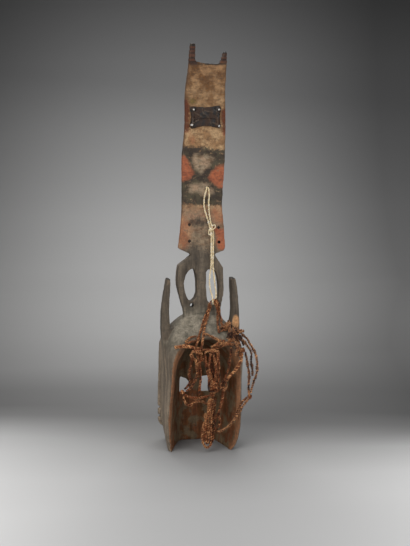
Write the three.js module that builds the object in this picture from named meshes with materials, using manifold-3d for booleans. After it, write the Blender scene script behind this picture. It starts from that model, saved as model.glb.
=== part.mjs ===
// A kanaga mask, seen from behind in the photograph: one carved block of wood with a hollow face box,
// two horns, a post between two bent arms and a tall plank, with its hide lashing, string and fibre cords.
// Millimetres, +Z up. The face looks along -Y, the hollow opens along +Y and the mask stands on z = 0.
import * as THREE from 'three';
import { mergeVertices } from 'three/addons/utils/BufferGeometryUtils.js';
import Module from 'manifold-3d';

const wasm = await Module();
wasm.setup();

// Driving dimensions
const FACE_Y = -192;
const PLATE_BACK_Y = -176;
const DOME_TOP_Z = 370;
const DOME_SPRING_Z = 260;
const DOME_POWER = 2;
const PLANK_BACK_Y = -71;
const PLANK_THICKNESS = 18;
const POST_THICKNESS = 32;
const HOLLOW_DEPTH = 150;
const FRONT_WALL = 12;
const LIP_DEPTH = 12;
const LASHING_HOLE_RADIUS = 3.8;
const THONG_HOLE_RADIUS = 3;
const STRING_HOLE_RADIUS = 4.2;
const HARNESS_HOLE_RADIUS = 3.4;
const CLEARANCE = 0.3;
const CUT = 30;

// The middle of the carved wood's box in plan, which is the part's origin
const CENTRE_X = 1.5;
const CENTRE_Y = -96.2;

// Value of a smooth curve through [place, value] pairs
function follow(pairs, place) {
  const next = pairs.findIndex((pair) => place < pair[0]);
  if (next === 0) {
    return pairs[0][1];
  }
  if (next < 0) {
    return pairs[pairs.length - 1][1];
  }
  const [from, to] = [pairs[next - 1], pairs[next]];
  return THREE.MathUtils.lerp(from[1], to[1], THREE.MathUtils.smoothstep(place, from[0], to[0]));
}

// A closed geometry turned into a solid that can be joined and cut
function solid(geometry) {
  const bare = geometry.clone();
  bare.deleteAttribute('normal');
  bare.deleteAttribute('uv');
  const merged = mergeVertices(bare, 1e-4);
  return new wasm.Manifold(new wasm.Mesh({
    numProp: 3,
    vertProperties: new Float32Array(merged.attributes.position.array),
    triVerts: new Uint32Array(merged.index.array),
  }));
}

// The triangles of a solid as a geometry
function geometryOf(body) {
  const mesh = body.getMesh();
  const geometry = new THREE.BufferGeometry();
  geometry.setAttribute('position', new THREE.BufferAttribute(new Float32Array(mesh.vertProperties), 3));
  geometry.setIndex(new THREE.BufferAttribute(new Uint32Array(mesh.triVerts), 1));
  geometry.computeVertexNormals();
  return geometry;
}

function middleOf(ring) {
  const middle = new THREE.Vector3();
  ring.forEach((point) => middle.addScaledVector(point, 1 / ring.length));
  return middle;
}

// A closed skin over rings with the same number of points, with a fan on each end and its faces out
function loft(rings) {
  const count = rings[0].length;
  const points = rings.flat();
  const index = [];
  for (let r = 0; r < rings.length - 1; r += 1) {
    for (let i = 0; i < count; i += 1) {
      const a = r * count + i;
      const b = r * count + (i + 1) % count;
      index.push(a, b, a + count, b, b + count, a + count);
    }
  }
  const lastRing = (rings.length - 1) * count;
  points.push(middleOf(rings[0]), middleOf(rings[rings.length - 1]));
  for (let i = 0; i < count; i += 1) {
    const next = (i + 1) % count;
    index.push(points.length - 2, next, i);
    index.push(points.length - 1, lastRing + i, lastRing + next);
  }
  let volume = 0;
  for (let n = 0; n < index.length; n += 3) {
    const [a, b, c] = [points[index[n]], points[index[n + 1]], points[index[n + 2]]];
    volume += a.dot(new THREE.Vector3().crossVectors(b, c));
  }
  const geometry = new THREE.BufferGeometry().setFromPoints(points);
  geometry.setIndex(volume > 0 ? index : index.reverse());
  return geometry;
}

// A shape drawn in x and z, made thick from yFront to yBack
function slab(shape, yFront, yBack) {
  const geometry = new THREE.ExtrudeGeometry(shape, { depth: yBack - yFront, bevelEnabled: false });
  geometry.rotateX(Math.PI / 2);
  geometry.translate(0, yBack, 0);
  return solid(geometry);
}

// A shape from corner points, with the points listed in order round it
function outline(points) {
  return new THREE.Shape(points.map(([x, z]) => new THREE.Vector2(x, z)));
}

// Points along a smooth curve through a few places, for one side of an outline
function smooth(places, count) {
  const curve = new THREE.SplineCurve(places.map(([x, z]) => new THREE.Vector2(x, z)));
  return curve.getPoints(count).map((p) => [p.x, p.y]);
}

// A round pin or hole along Y
function bore([x, z], radius, yFront, yBack, sides = 8) {
  const geometry = new THREE.CylinderGeometry(radius, radius, yBack - yFront, sides);
  geometry.translate(x, (yFront + yBack) / 2, z);
  return solid(geometry);
}

// A round hole from one point to another
function drill(from, to, radius) {
  const start = new THREE.Vector3(...from);
  const along = new THREE.Vector3(...to).sub(start);
  const geometry = new THREE.CylinderGeometry(radius, radius, along.length(), 8);
  geometry.applyQuaternion(new THREE.Quaternion().setFromUnitVectors(
    new THREE.Vector3(0, 1, 0), along.clone().normalize(),
  ));
  geometry.translate(...start.addScaledVector(along, 0.5).toArray());
  return solid(geometry);
}

// Outer skin of the face box and its dome. Each level is a rounded rectangle in plan.
const BACK_LEFT = [[0, 103], [30, 109], [95, 109], [200, 100], [DOME_SPRING_Z, 105]];
const BACK_RIGHT = [[0, 72], [12, 84], [30, 91], [76, 100], [200, 101], [DOME_SPRING_Z, 105]];
const FRONT_HALF = [[0, 80], [34, 86], [60, 94], [300, 96]];
const BACK_LEFT_Y = [[0, -21], [40, -6], [90, 0], [285, 0]];
const BACK_RIGHT_Y = [[0, -4], [40, 0]];
const LEVELS = [0, 12, 30, 60, 95, 150, 200, 240, 265, 285, 302, 318, 332, 344, 354, 363, DOME_TOP_Z];
const RING_POINTS = 36;

// Above the shoulder the front and the back lean inwards, each by so many millimetres at the dome's top
const SHOULDER_Z = 285;
const FRONT_LEAN = 70;
const FRONT_LEAN_POWER = 3;
const BACK_LEAN = -62;
const BACK_LEAN_POWER = 2.2;
const DOME_MARGIN = 6;

// The section is nearly square up to where the rounding starts, and nearly an ellipse where it ends
const SQUARE_POWER = 14;
const ROUND_POWER = 2.6;
const ROUNDING_START_Z = 230;
const ROUNDING_END_Z = 350;

function domeShrink(z) {
  const rise = Math.max(0, (z - DOME_SPRING_Z) / (DOME_TOP_Z + DOME_MARGIN - DOME_SPRING_Z));
  return Math.pow(1 - Math.pow(rise, DOME_POWER), 1 / DOME_POWER);
}

function headRing(z) {
  const shrink = domeShrink(z);
  const arch = Math.max(0, (z - SHOULDER_Z) / (DOME_TOP_Z - SHOULDER_Z));
  const frontY = FACE_Y + FRONT_LEAN * Math.pow(arch, FRONT_LEAN_POWER);
  const rounding = THREE.MathUtils.smoothstep(z, ROUNDING_START_Z, ROUNDING_END_Z);
  const roundness = 2 / THREE.MathUtils.lerp(SQUARE_POWER, ROUND_POWER, rounding);
  const ring = [];
  for (let i = 0; i < RING_POINTS; i += 1) {
    const angle = ((i + 0.5) / RING_POINTS) * Math.PI * 2;
    const c = Math.cos(angle);
    const s = Math.sin(angle);
    const across = Math.sign(c) * Math.pow(Math.abs(c), roundness);
    const along = Math.sign(s) * Math.pow(Math.abs(s), roundness);
    const back = (along + 1) / 2;
    const leftward = (across + 1) / 2;
    const footY = THREE.MathUtils.lerp(follow(BACK_RIGHT_Y, z), follow(BACK_LEFT_Y, z), leftward);
    const backY = footY + BACK_LEAN * Math.pow(arch, BACK_LEAN_POWER);
    const side = follow(c > 0 ? BACK_LEFT : BACK_RIGHT, z);
    const half = THREE.MathUtils.lerp(follow(FRONT_HALF, z), side, back) * shrink;
    ring.push(new THREE.Vector3(across * half, THREE.MathUtils.lerp(frontY, backY, back), z));
  }
  return ring;
}

// The hollow: arched sections that narrow from the rim towards the face
const HOLLOW_SECTIONS = [
  { y: 14, left: 110, right: 106, top: 334 },
  { y: 0, left: 101, right: 96, top: 322 },
  { y: -LIP_DEPTH, left: 90, right: 85, top: 308 },
  { y: -45, left: 81, right: 76, top: 303 },
  { y: -90, left: 68, right: 62, top: 292 },
  { y: -130, left: 54, right: 51, top: 276 },
  { y: -143, left: 48, right: 47, top: 266 },
  { y: -HOLLOW_DEPTH, left: 40, right: 40, top: 254 },
];
const LEFT_FLARE = [[0, 0.07], [60, 0.08], [95, 0.07], [150, 0.02], [200, -0.03]];
const RIGHT_FLARE = [[0, -0.26], [12, -0.15], [30, -0.09], [60, -0.03], [100, 0]];
const SIDE_LEVELS = [0, 14, 30, 60, 95, 140];
const ARCH_SPRING = 0.56;
const ARCH_STEPS = 10;
const ARCH_SIDE_POWER = 0.85;
const ARCH_RISE_POWER = 0.9;
const ARCH_LEFT_NARROWING = 0.03;

function hollowRing({ y, left, right, top }) {
  const spring = top * ARCH_SPRING;
  const nearness = 1 + Math.min(0, y) / HOLLOW_DEPTH;
  const sidePoint = (half, flare, z) => {
    const bend = 1 + follow(flare, Math.max(0, z)) * nearness;
    return new THREE.Vector3(half * bend, y, z);
  };
  const levels = [-CUT, ...SIDE_LEVELS];
  const rightSide = levels.map((z) => sidePoint(-right, RIGHT_FLARE, z));
  const leftSide = levels.map((z) => sidePoint(left, LEFT_FLARE, z)).reverse();
  const crown = [];
  for (let i = 0; i <= ARCH_STEPS * 2; i += 1) {
    const angle = Math.PI * (1 - i / (ARCH_STEPS * 2));
    const half = angle > Math.PI / 2 ? right : left * (1 - ARCH_LEFT_NARROWING * nearness);
    const c = Math.cos(angle);
    const x = half * Math.sign(c) * Math.pow(Math.abs(c), ARCH_SIDE_POWER);
    const z = spring + (top - spring) * Math.pow(Math.sin(angle), ARCH_RISE_POWER);
    crown.push(new THREE.Vector3(x, y, z));
  }
  return [...rightSide, ...crown, ...leftSide];
}

// Horns: blades that rise from the sides of the box, each level given as [z, inner x, outer x]
const HORN_FRONT_Y = -112;
const HORN_BACK_Y = -68;
const LEFT_HORN = [[150, 82, 97], [230, 82, 102], [290, 82, 107], [330, 86, 110], [376, 88, 109],
  [415, 87, 104], [448, 85, 98], [467, 84, 94]];
const RIGHT_HORN = [[150, 80, 97], [230, 80, 101], [290, 80, 106], [333, 81, 107], [374, 86, 106],
  [410, 84, 104], [438, 83, 101], [464, 82, 96]];
const HORN_POINTS = 12;
const HORN_TAPER = 0.54;
const HORN_SQUARENESS = 0.2;

function horn(levels, side) {
  const rings = levels.map(([z, inner, outer], level) => {
    const middleX = (inner + outer) / 2;
    const halfX = (outer - inner) / 2;
    const middleY = (HORN_FRONT_Y + HORN_BACK_Y) / 2;
    const halfY = (HORN_BACK_Y - HORN_FRONT_Y) / 2 - level * HORN_TAPER;
    const ring = [];
    for (let i = 0; i < HORN_POINTS; i += 1) {
      const angle = ((i + 0.5) / HORN_POINTS) * Math.PI * 2;
      const c = Math.cos(angle);
      const s = Math.sin(angle);
      const x = middleX + halfX * Math.sign(c) * Math.pow(Math.abs(c), HORN_SQUARENESS);
      const y = middleY + halfY * Math.sign(s) * Math.pow(Math.abs(s), HORN_SQUARENESS);
      ring.push(new THREE.Vector3(side * x, y, z));
    }
    return ring;
  });
  return solid(loft(rings));
}

const UPRIGHT_FRONT_Y = -140;
const UPRIGHT_BACK_Y = -20;

// Back view of the plank, the waist, the two bent arms and the post, as one outline
function uprightShape() {
  const left = [
    ...smooth([[50, 340], [49, 374], [58, 404], [68, 450], [67, 480], [64, 503]], 12),
    [27, 532], [63, 549],
    ...smooth([[61, 568], [54, 636], [53, 715], [52, 799], [45, 871], [44, 960], [35, 1030],
      [34, 1054]], 16),
    [30, 1100], [15, 1100],
  ];
  const right = [
    ...smooth([[16, 1054], [-7, 1048], [-46, 1046]], 4),
    [-52, 1049], [-61, 1078], [-71, 1079],
    ...smooth([[-70, 1043], [-66, 965], [-67, 871], [-64, 770], [-58, 667], [-61, 620], [-66, 551]], 16),
    [-63, 541], [-36, 532], [-59, 496],
    ...smooth([[-60, 463], [-61, 428], [-56, 401], [-53, 380], [-57, 340]], 10),
  ];
  const shape = outline([...left, ...right]);
  const leftGap = [
    ...smooth([[27, 495], [39, 486], [49, 460], [46, 430], [36, 408]], 10),
    ...smooth([[28, 404], [15, 420], [14, 445], [16, 474], [21, 492]], 6),
  ];
  const rightGap = [
    ...smooth([[-16, 491], [-36, 486], [-44, 465], [-47, 430], [-42, 406], [-29, 392]], 10),
    ...smooth([[-22, 400], [-14, 408], [-12, 440], [-12, 484]], 4),
  ];
  const slit = [[22, 388], [33, 388], [33, 400], [23, 399]];
  [leftGap, rightGap, slit].forEach((hole) => shape.holes.push(outline(hole)));
  return shape;
}

// Side view of the same: thick in the post and arms, thinner in the plank and the prong tips
const UPRIGHT_THICKNESS = [[330, POST_THICKNESS], [488, POST_THICKNESS], [518, 25], [548, PLANK_THICKNESS],
  [1046, PLANK_THICKNESS], [1078, 15], [1110, 13]];
const UPRIGHT_REACH = 150;

function uprightProfile() {
  const middle = PLANK_BACK_Y - PLANK_THICKNESS / 2;
  const back = UPRIGHT_THICKNESS.map(([z, thickness]) => [middle + thickness / 2, z]);
  const front = UPRIGHT_THICKNESS.map(([z, thickness]) => [middle - thickness / 2, z]).reverse();
  const shape = outline([...back, ...front]);
  const geometry = new THREE.ExtrudeGeometry(shape, { depth: UPRIGHT_REACH * 2, bevelEnabled: false });
  geometry.rotateX(Math.PI / 2);
  geometry.rotateZ(Math.PI / 2);
  geometry.translate(-UPRIGHT_REACH, 0, 0);
  return solid(geometry);
}

// The plate round the face is a little wider than the box, and its edges are notched low down
const PLATE_EDGE = [[95, 39], [101, 50], [102, 110], [100, 180], [97, 272], [84, 306], [52, 318]];
const PLATE_NOTCHES = [90, 65];
const NOTCH_HEIGHT = 7;
const NOTCH_DEPTH = 7;

function facePlate() {
  const mirrored = PLATE_EDGE.map(([x, z]) => [-x, z]).reverse();
  const shape = outline([...PLATE_EDGE, ...mirrored]);
  let plate = slab(shape, FACE_Y, PLATE_BACK_Y);
  for (const z of PLATE_NOTCHES) {
    for (const side of [-1, 1]) {
      const notch = new THREE.BoxGeometry(NOTCH_DEPTH * 2, CUT * 2, NOTCH_HEIGHT);
      notch.translate(side * PLATE_EDGE[2][0], FACE_Y, z);
      plate = plate.subtract(solid(notch));
    }
  }
  return plate;
}

// Two deep channels in the face leave the long nose between them, and each has an eye opening
const NOSE_X = 3;
const NOSE_HALF = 10;
const CHANNEL_WIDTH = 44;
const CHANNEL_LOW = 34;
const CHANNEL_HIGH = 262;
const EYE_NEAR = 16;
const EYE_WIDTH = 28;
const EYE_LOW = 136;
const EYE_HIGH = 181;
const LEFT_EYE_CORNER = 18;
const RIGHT_EYE_CORNER = 7;
const CHANNEL_CORNER = 12;

function channel(side) {
  const near = NOSE_X + side * NOSE_HALF;
  const far = near + side * CHANNEL_WIDTH;
  const shape = outline([[near, CHANNEL_LOW], [far, CHANNEL_LOW], [far, CHANNEL_HIGH - CHANNEL_CORNER],
    [far - side * CHANNEL_CORNER, CHANNEL_HIGH], [near, CHANNEL_HIGH]]);
  return slab(shape, FACE_Y - CUT, -HOLLOW_DEPTH - FRONT_WALL);
}

function eye(side, cornerCut) {
  const near = NOSE_X + side * EYE_NEAR;
  const far = near + side * EYE_WIDTH;
  const shape = outline([[near, EYE_LOW], [far, EYE_LOW], [far - side * 2, EYE_HIGH],
    [near + side * cornerCut * 0.4, EYE_HIGH - cornerCut * 0.5], [near, EYE_HIGH - cornerCut]]);
  return slab(shape, FACE_Y - CUT, -HOLLOW_DEPTH + CUT);
}

// Below the tip of the nose the wood between the channels is cut back from the plate
const NOSE_TIP_Z = 88;
const NOSE_SIDE_Z = 96;
const CHIN_STEP = 6;

function noseTrim() {
  const left = NOSE_X + NOSE_HALF + 1;
  const right = NOSE_X - NOSE_HALF - 1;
  const under = outline([[right, CHANNEL_LOW], [left, CHANNEL_LOW], [left, NOSE_SIDE_Z],
    [NOSE_X, NOSE_TIP_Z], [right, NOSE_SIDE_Z]]);
  return slab(under, FACE_Y - CUT, -HOLLOW_DEPTH - FRONT_WALL - CHIN_STEP);
}

// Holes as [x, z] in the plank: four for the lashing of the lost lower crossbar, one for the string and
// four under the hide. Each harness hole runs from a point outside the dome to one inside the hollow.
const LASHING_HOLES = [[33, 614], [33, 569], [-47, 604], [-49, 564]];
const STRING_HOLE = [-16, 713];
const THONG_HOLES = [[23, 925], [-46, 924], [27, 884], [-46, 880]];
const HARNESS_HOLES = [
  [[64, 3, 321], [48, -15, 289]],
  [[92, 2, 303], [58, -24, 266]],
  [[-92, -4, 318], [-58, -26, 276]],
];
const THROUGH_PLANK = [PLANK_BACK_Y - PLANK_THICKNESS - CUT, PLANK_BACK_Y + CUT];

function carvedMask() {
  let wood = solid(loft(LEVELS.map(headRing)));
  wood = wood.add(facePlate());
  wood = wood.add(horn(LEFT_HORN, 1));
  wood = wood.add(horn(RIGHT_HORN, -1));
  wood = wood.add(slab(uprightShape(), UPRIGHT_FRONT_Y, UPRIGHT_BACK_Y).intersect(uprightProfile()));
  wood = wood.subtract(solid(loft(HOLLOW_SECTIONS.map(hollowRing))));
  for (const side of [-1, 1]) {
    wood = wood.subtract(channel(side));
    wood = wood.subtract(eye(side, side > 0 ? LEFT_EYE_CORNER : RIGHT_EYE_CORNER));
  }
  wood = wood.subtract(noseTrim());
  for (const place of LASHING_HOLES) {
    wood = wood.subtract(bore(place, LASHING_HOLE_RADIUS, ...THROUGH_PLANK));
  }
  for (const place of THONG_HOLES) {
    wood = wood.subtract(bore(place, THONG_HOLE_RADIUS, ...THROUGH_PLANK));
  }
  wood = wood.subtract(bore(STRING_HOLE, STRING_HOLE_RADIUS, ...THROUGH_PLANK));
  for (const [outside, inside] of HARNESS_HOLES) {
    wood = wood.subtract(drill(outside, inside, HARNESS_HOLE_RADIUS));
  }
  return wood;
}

// Hide laced over the plank: a sheet with a thick band down each side and a lobed bridge between them on
// the back, thongs through the four holes, and a bar of hide down each side of the front
const HIDE_SHEET = 3;
const HIDE_BAND = 6;
const HIDE_TOP = 934;
const HIDE_FOOT = 873;
const HIDE_LEFT = 33;
const HIDE_RIGHT = -53;
const HIDE_BAND_WIDTH = 18;
const HIDE_MIDDLE_X = (HIDE_LEFT + HIDE_RIGHT) / 2;
const HIDE_MIDDLE_Z = (HIDE_TOP + HIDE_FOOT) / 2;
const HIDE_WAIST = 4;
const HIDE_CORNER = 5;
const HIDE_BRIDGE_REACH = 30;
const HIDE_BRIDGE_TOP = 922;
const HIDE_BRIDGE_FOOT = 898;
const HIDE_BRIDGE_WAIST = 4;
const CURVE_STEPS = 4;
const SUNK = 1;
const THONG_RADIUS = THONG_HOLE_RADIUS - 0.5;
const THONG_BAR_WIDTH = 11;
const THONG_BAR_THICKNESS = 4;

function hideSheet() {
  const left = HIDE_LEFT - HIDE_CORNER;
  const right = HIDE_RIGHT + HIDE_CORNER;
  const top = HIDE_TOP - HIDE_CORNER;
  const foot = HIDE_FOOT + HIDE_CORNER;
  const footMiddle = HIDE_FOOT + 2 * HIDE_WAIST;
  const rightMiddle = HIDE_RIGHT + HIDE_WAIST;
  return outline([
    ...smooth([[left, HIDE_TOP], [HIDE_MIDDLE_X, HIDE_TOP - HIDE_WAIST], [right, HIDE_TOP]], CURVE_STEPS),
    ...smooth([[HIDE_RIGHT, top], [rightMiddle, HIDE_MIDDLE_Z], [HIDE_RIGHT, foot]], CURVE_STEPS),
    ...smooth([[right, HIDE_FOOT], [HIDE_MIDDLE_X, footMiddle], [left, HIDE_FOOT]], CURVE_STEPS),
    ...smooth([[HIDE_LEFT, foot], [HIDE_LEFT - HIDE_WAIST, HIDE_MIDDLE_Z], [HIDE_LEFT, top]], CURVE_STEPS),
  ]);
}

function hideBand(edge, side) {
  const outer = edge - side * HIDE_WAIST;
  const inner = edge - side * HIDE_BAND_WIDTH;
  const top = HIDE_TOP - HIDE_WAIST;
  const foot = HIDE_FOOT + HIDE_WAIST;
  return outline([
    ...smooth([[outer, foot], [outer - side, HIDE_MIDDLE_Z], [outer, top]], CURVE_STEPS),
    ...smooth([[inner, top], [inner + side * HIDE_WAIST * 2, HIDE_MIDDLE_Z], [inner, foot]], CURVE_STEPS),
  ]);
}

function hideBridge() {
  const left = HIDE_MIDDLE_X + HIDE_BRIDGE_REACH;
  const right = HIDE_MIDDLE_X - HIDE_BRIDGE_REACH;
  const waistTop = HIDE_BRIDGE_TOP - HIDE_BRIDGE_WAIST;
  const waistFoot = HIDE_BRIDGE_FOOT + HIDE_BRIDGE_WAIST;
  return outline([
    ...smooth([[left, HIDE_BRIDGE_TOP], [HIDE_MIDDLE_X, waistTop], [right, HIDE_BRIDGE_TOP]], CURVE_STEPS),
    ...smooth([[right, HIDE_BRIDGE_FOOT], [HIDE_MIDDLE_X, waistFoot], [left, HIDE_BRIDGE_FOOT]],
      CURVE_STEPS),
  ]);
}

function rawhideLashing() {
  const back = PLANK_BACK_Y + CLEARANCE;
  const front = PLANK_BACK_Y - PLANK_THICKNESS - CLEARANCE;
  let hide = slab(hideSheet(), back, back + HIDE_SHEET);
  hide = hide.add(slab(hideBand(HIDE_LEFT, 1), back + SUNK, back + HIDE_BAND));
  hide = hide.add(slab(hideBand(HIDE_RIGHT, -1), back + SUNK, back + HIDE_BAND));
  hide = hide.add(slab(hideBridge(), back + SUNK, back + HIDE_BAND - SUNK));
  for (const place of THONG_HOLES) {
    hide = hide.add(bore(place, THONG_RADIUS, front - SUNK, back + SUNK));
  }
  const [leftTop, rightTop, leftFoot, rightFoot] = THONG_HOLES;
  for (const [top, foot] of [[leftTop, leftFoot], [rightTop, rightFoot]]) {
    const half = THONG_BAR_WIDTH / 2;
    const bar = outline([[top[0] - half, top[1] + half], [top[0] + half, top[1] + half],
      [foot[0] + half, foot[1] - half], [foot[0] - half, foot[1] - half]]);
    hide = hide.add(slab(bar, front - THONG_BAR_THICKNESS, front));
  }
  return hide;
}

// A free cord along a smooth route
const CORD_SIDES = 8;
const STEP_IN_DIAMETERS = 3;

function cord(route, diameter) {
  const curve = new THREE.CatmullRomCurve3(route.map((point) => new THREE.Vector3(...point)));
  const steps = Math.ceil(curve.getLength() / (diameter * STEP_IN_DIAMETERS));
  const section = new THREE.Shape();
  section.absarc(0, 0, diameter / 2, 0, Math.PI * 2);
  const round = new THREE.Shape(section.getSpacedPoints(CORD_SIDES).slice(0, CORD_SIDES));
  return new THREE.ExtrudeGeometry(round, { steps, extrudePath: curve, bevelEnabled: false });
}

// A knot as a small ball that the cords end against
function knot([x, y, z], radius) {
  const geometry = new THREE.SphereGeometry(radius, 8, 6);
  geometry.translate(x, y, z);
  return solid(geometry);
}

// The cotton string, doubled: from its stopper knot through the plank, down, through the fibre loop and
// back up
const STRING_DIAMETER = 3;
const STRING_ROUTE = [
  [-14.2, -89, 713], [-14.2, -74, 714], [-13.4, -67, 712.5], [-11, -66.4, 704], [-8, -67.4, 693],
  [-6, -68, 678], [-6.6, -68, 662], [-9.5, -68, 649], [-13.5, -68, 636], [-17.5, -67.6, 623],
  [-20.5, -67, 611], [-24, -66.4, 597], [-26, -65.4, 577], [-25.4, -64.5, 557], [-25, -62, 537],
  [-24, -60, 503], [-20, -60, 470], [-20, -60, 449], [-23, -60, 432], [-26.5, -57, 418], [-27, -54, 408],
  [-27.6, -55.5, 401], [-30.5, -61, 396.8], [-34, -65.5, 400], [-36.5, -65, 408], [-38, -62, 417],
  [-37.4, -60, 431], [-34.5, -60, 449], [-32, -60, 475], [-29, -60, 503], [-30, -62, 537],
  [-30.6, -64.5, 557], [-31.6, -65.4, 577], [-30, -66.4, 597], [-26.6, -67, 611], [-23.6, -68, 623],
  [-21, -68, 640], [-19.4, -68, 658], [-19, -68, 678], [-20.3, -67.4, 691], [-19.4, -66.4, 704],
  [-18.4, -67, 712.5], [-17.8, -74, 714], [-17.8, -89, 713],
];
const STRING_STOPPER = { place: [-16, -95.2, 713], radius: 5 };

// The knots of the fibre harness
const KNOTS = {
  knot_cluster: { place: [27, 9, 286], radius: 8 },
  knot_left: { place: [69, 4, 170], radius: 7 },
  knot_outer: { place: [-119, -1, 148], radius: 7 },
  knot_tail: { place: [-14, 3, 159], radius: 8.5 },
  knot_shoulder: { place: [-99, 1, 278], radius: 7.5 },
};

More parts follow.
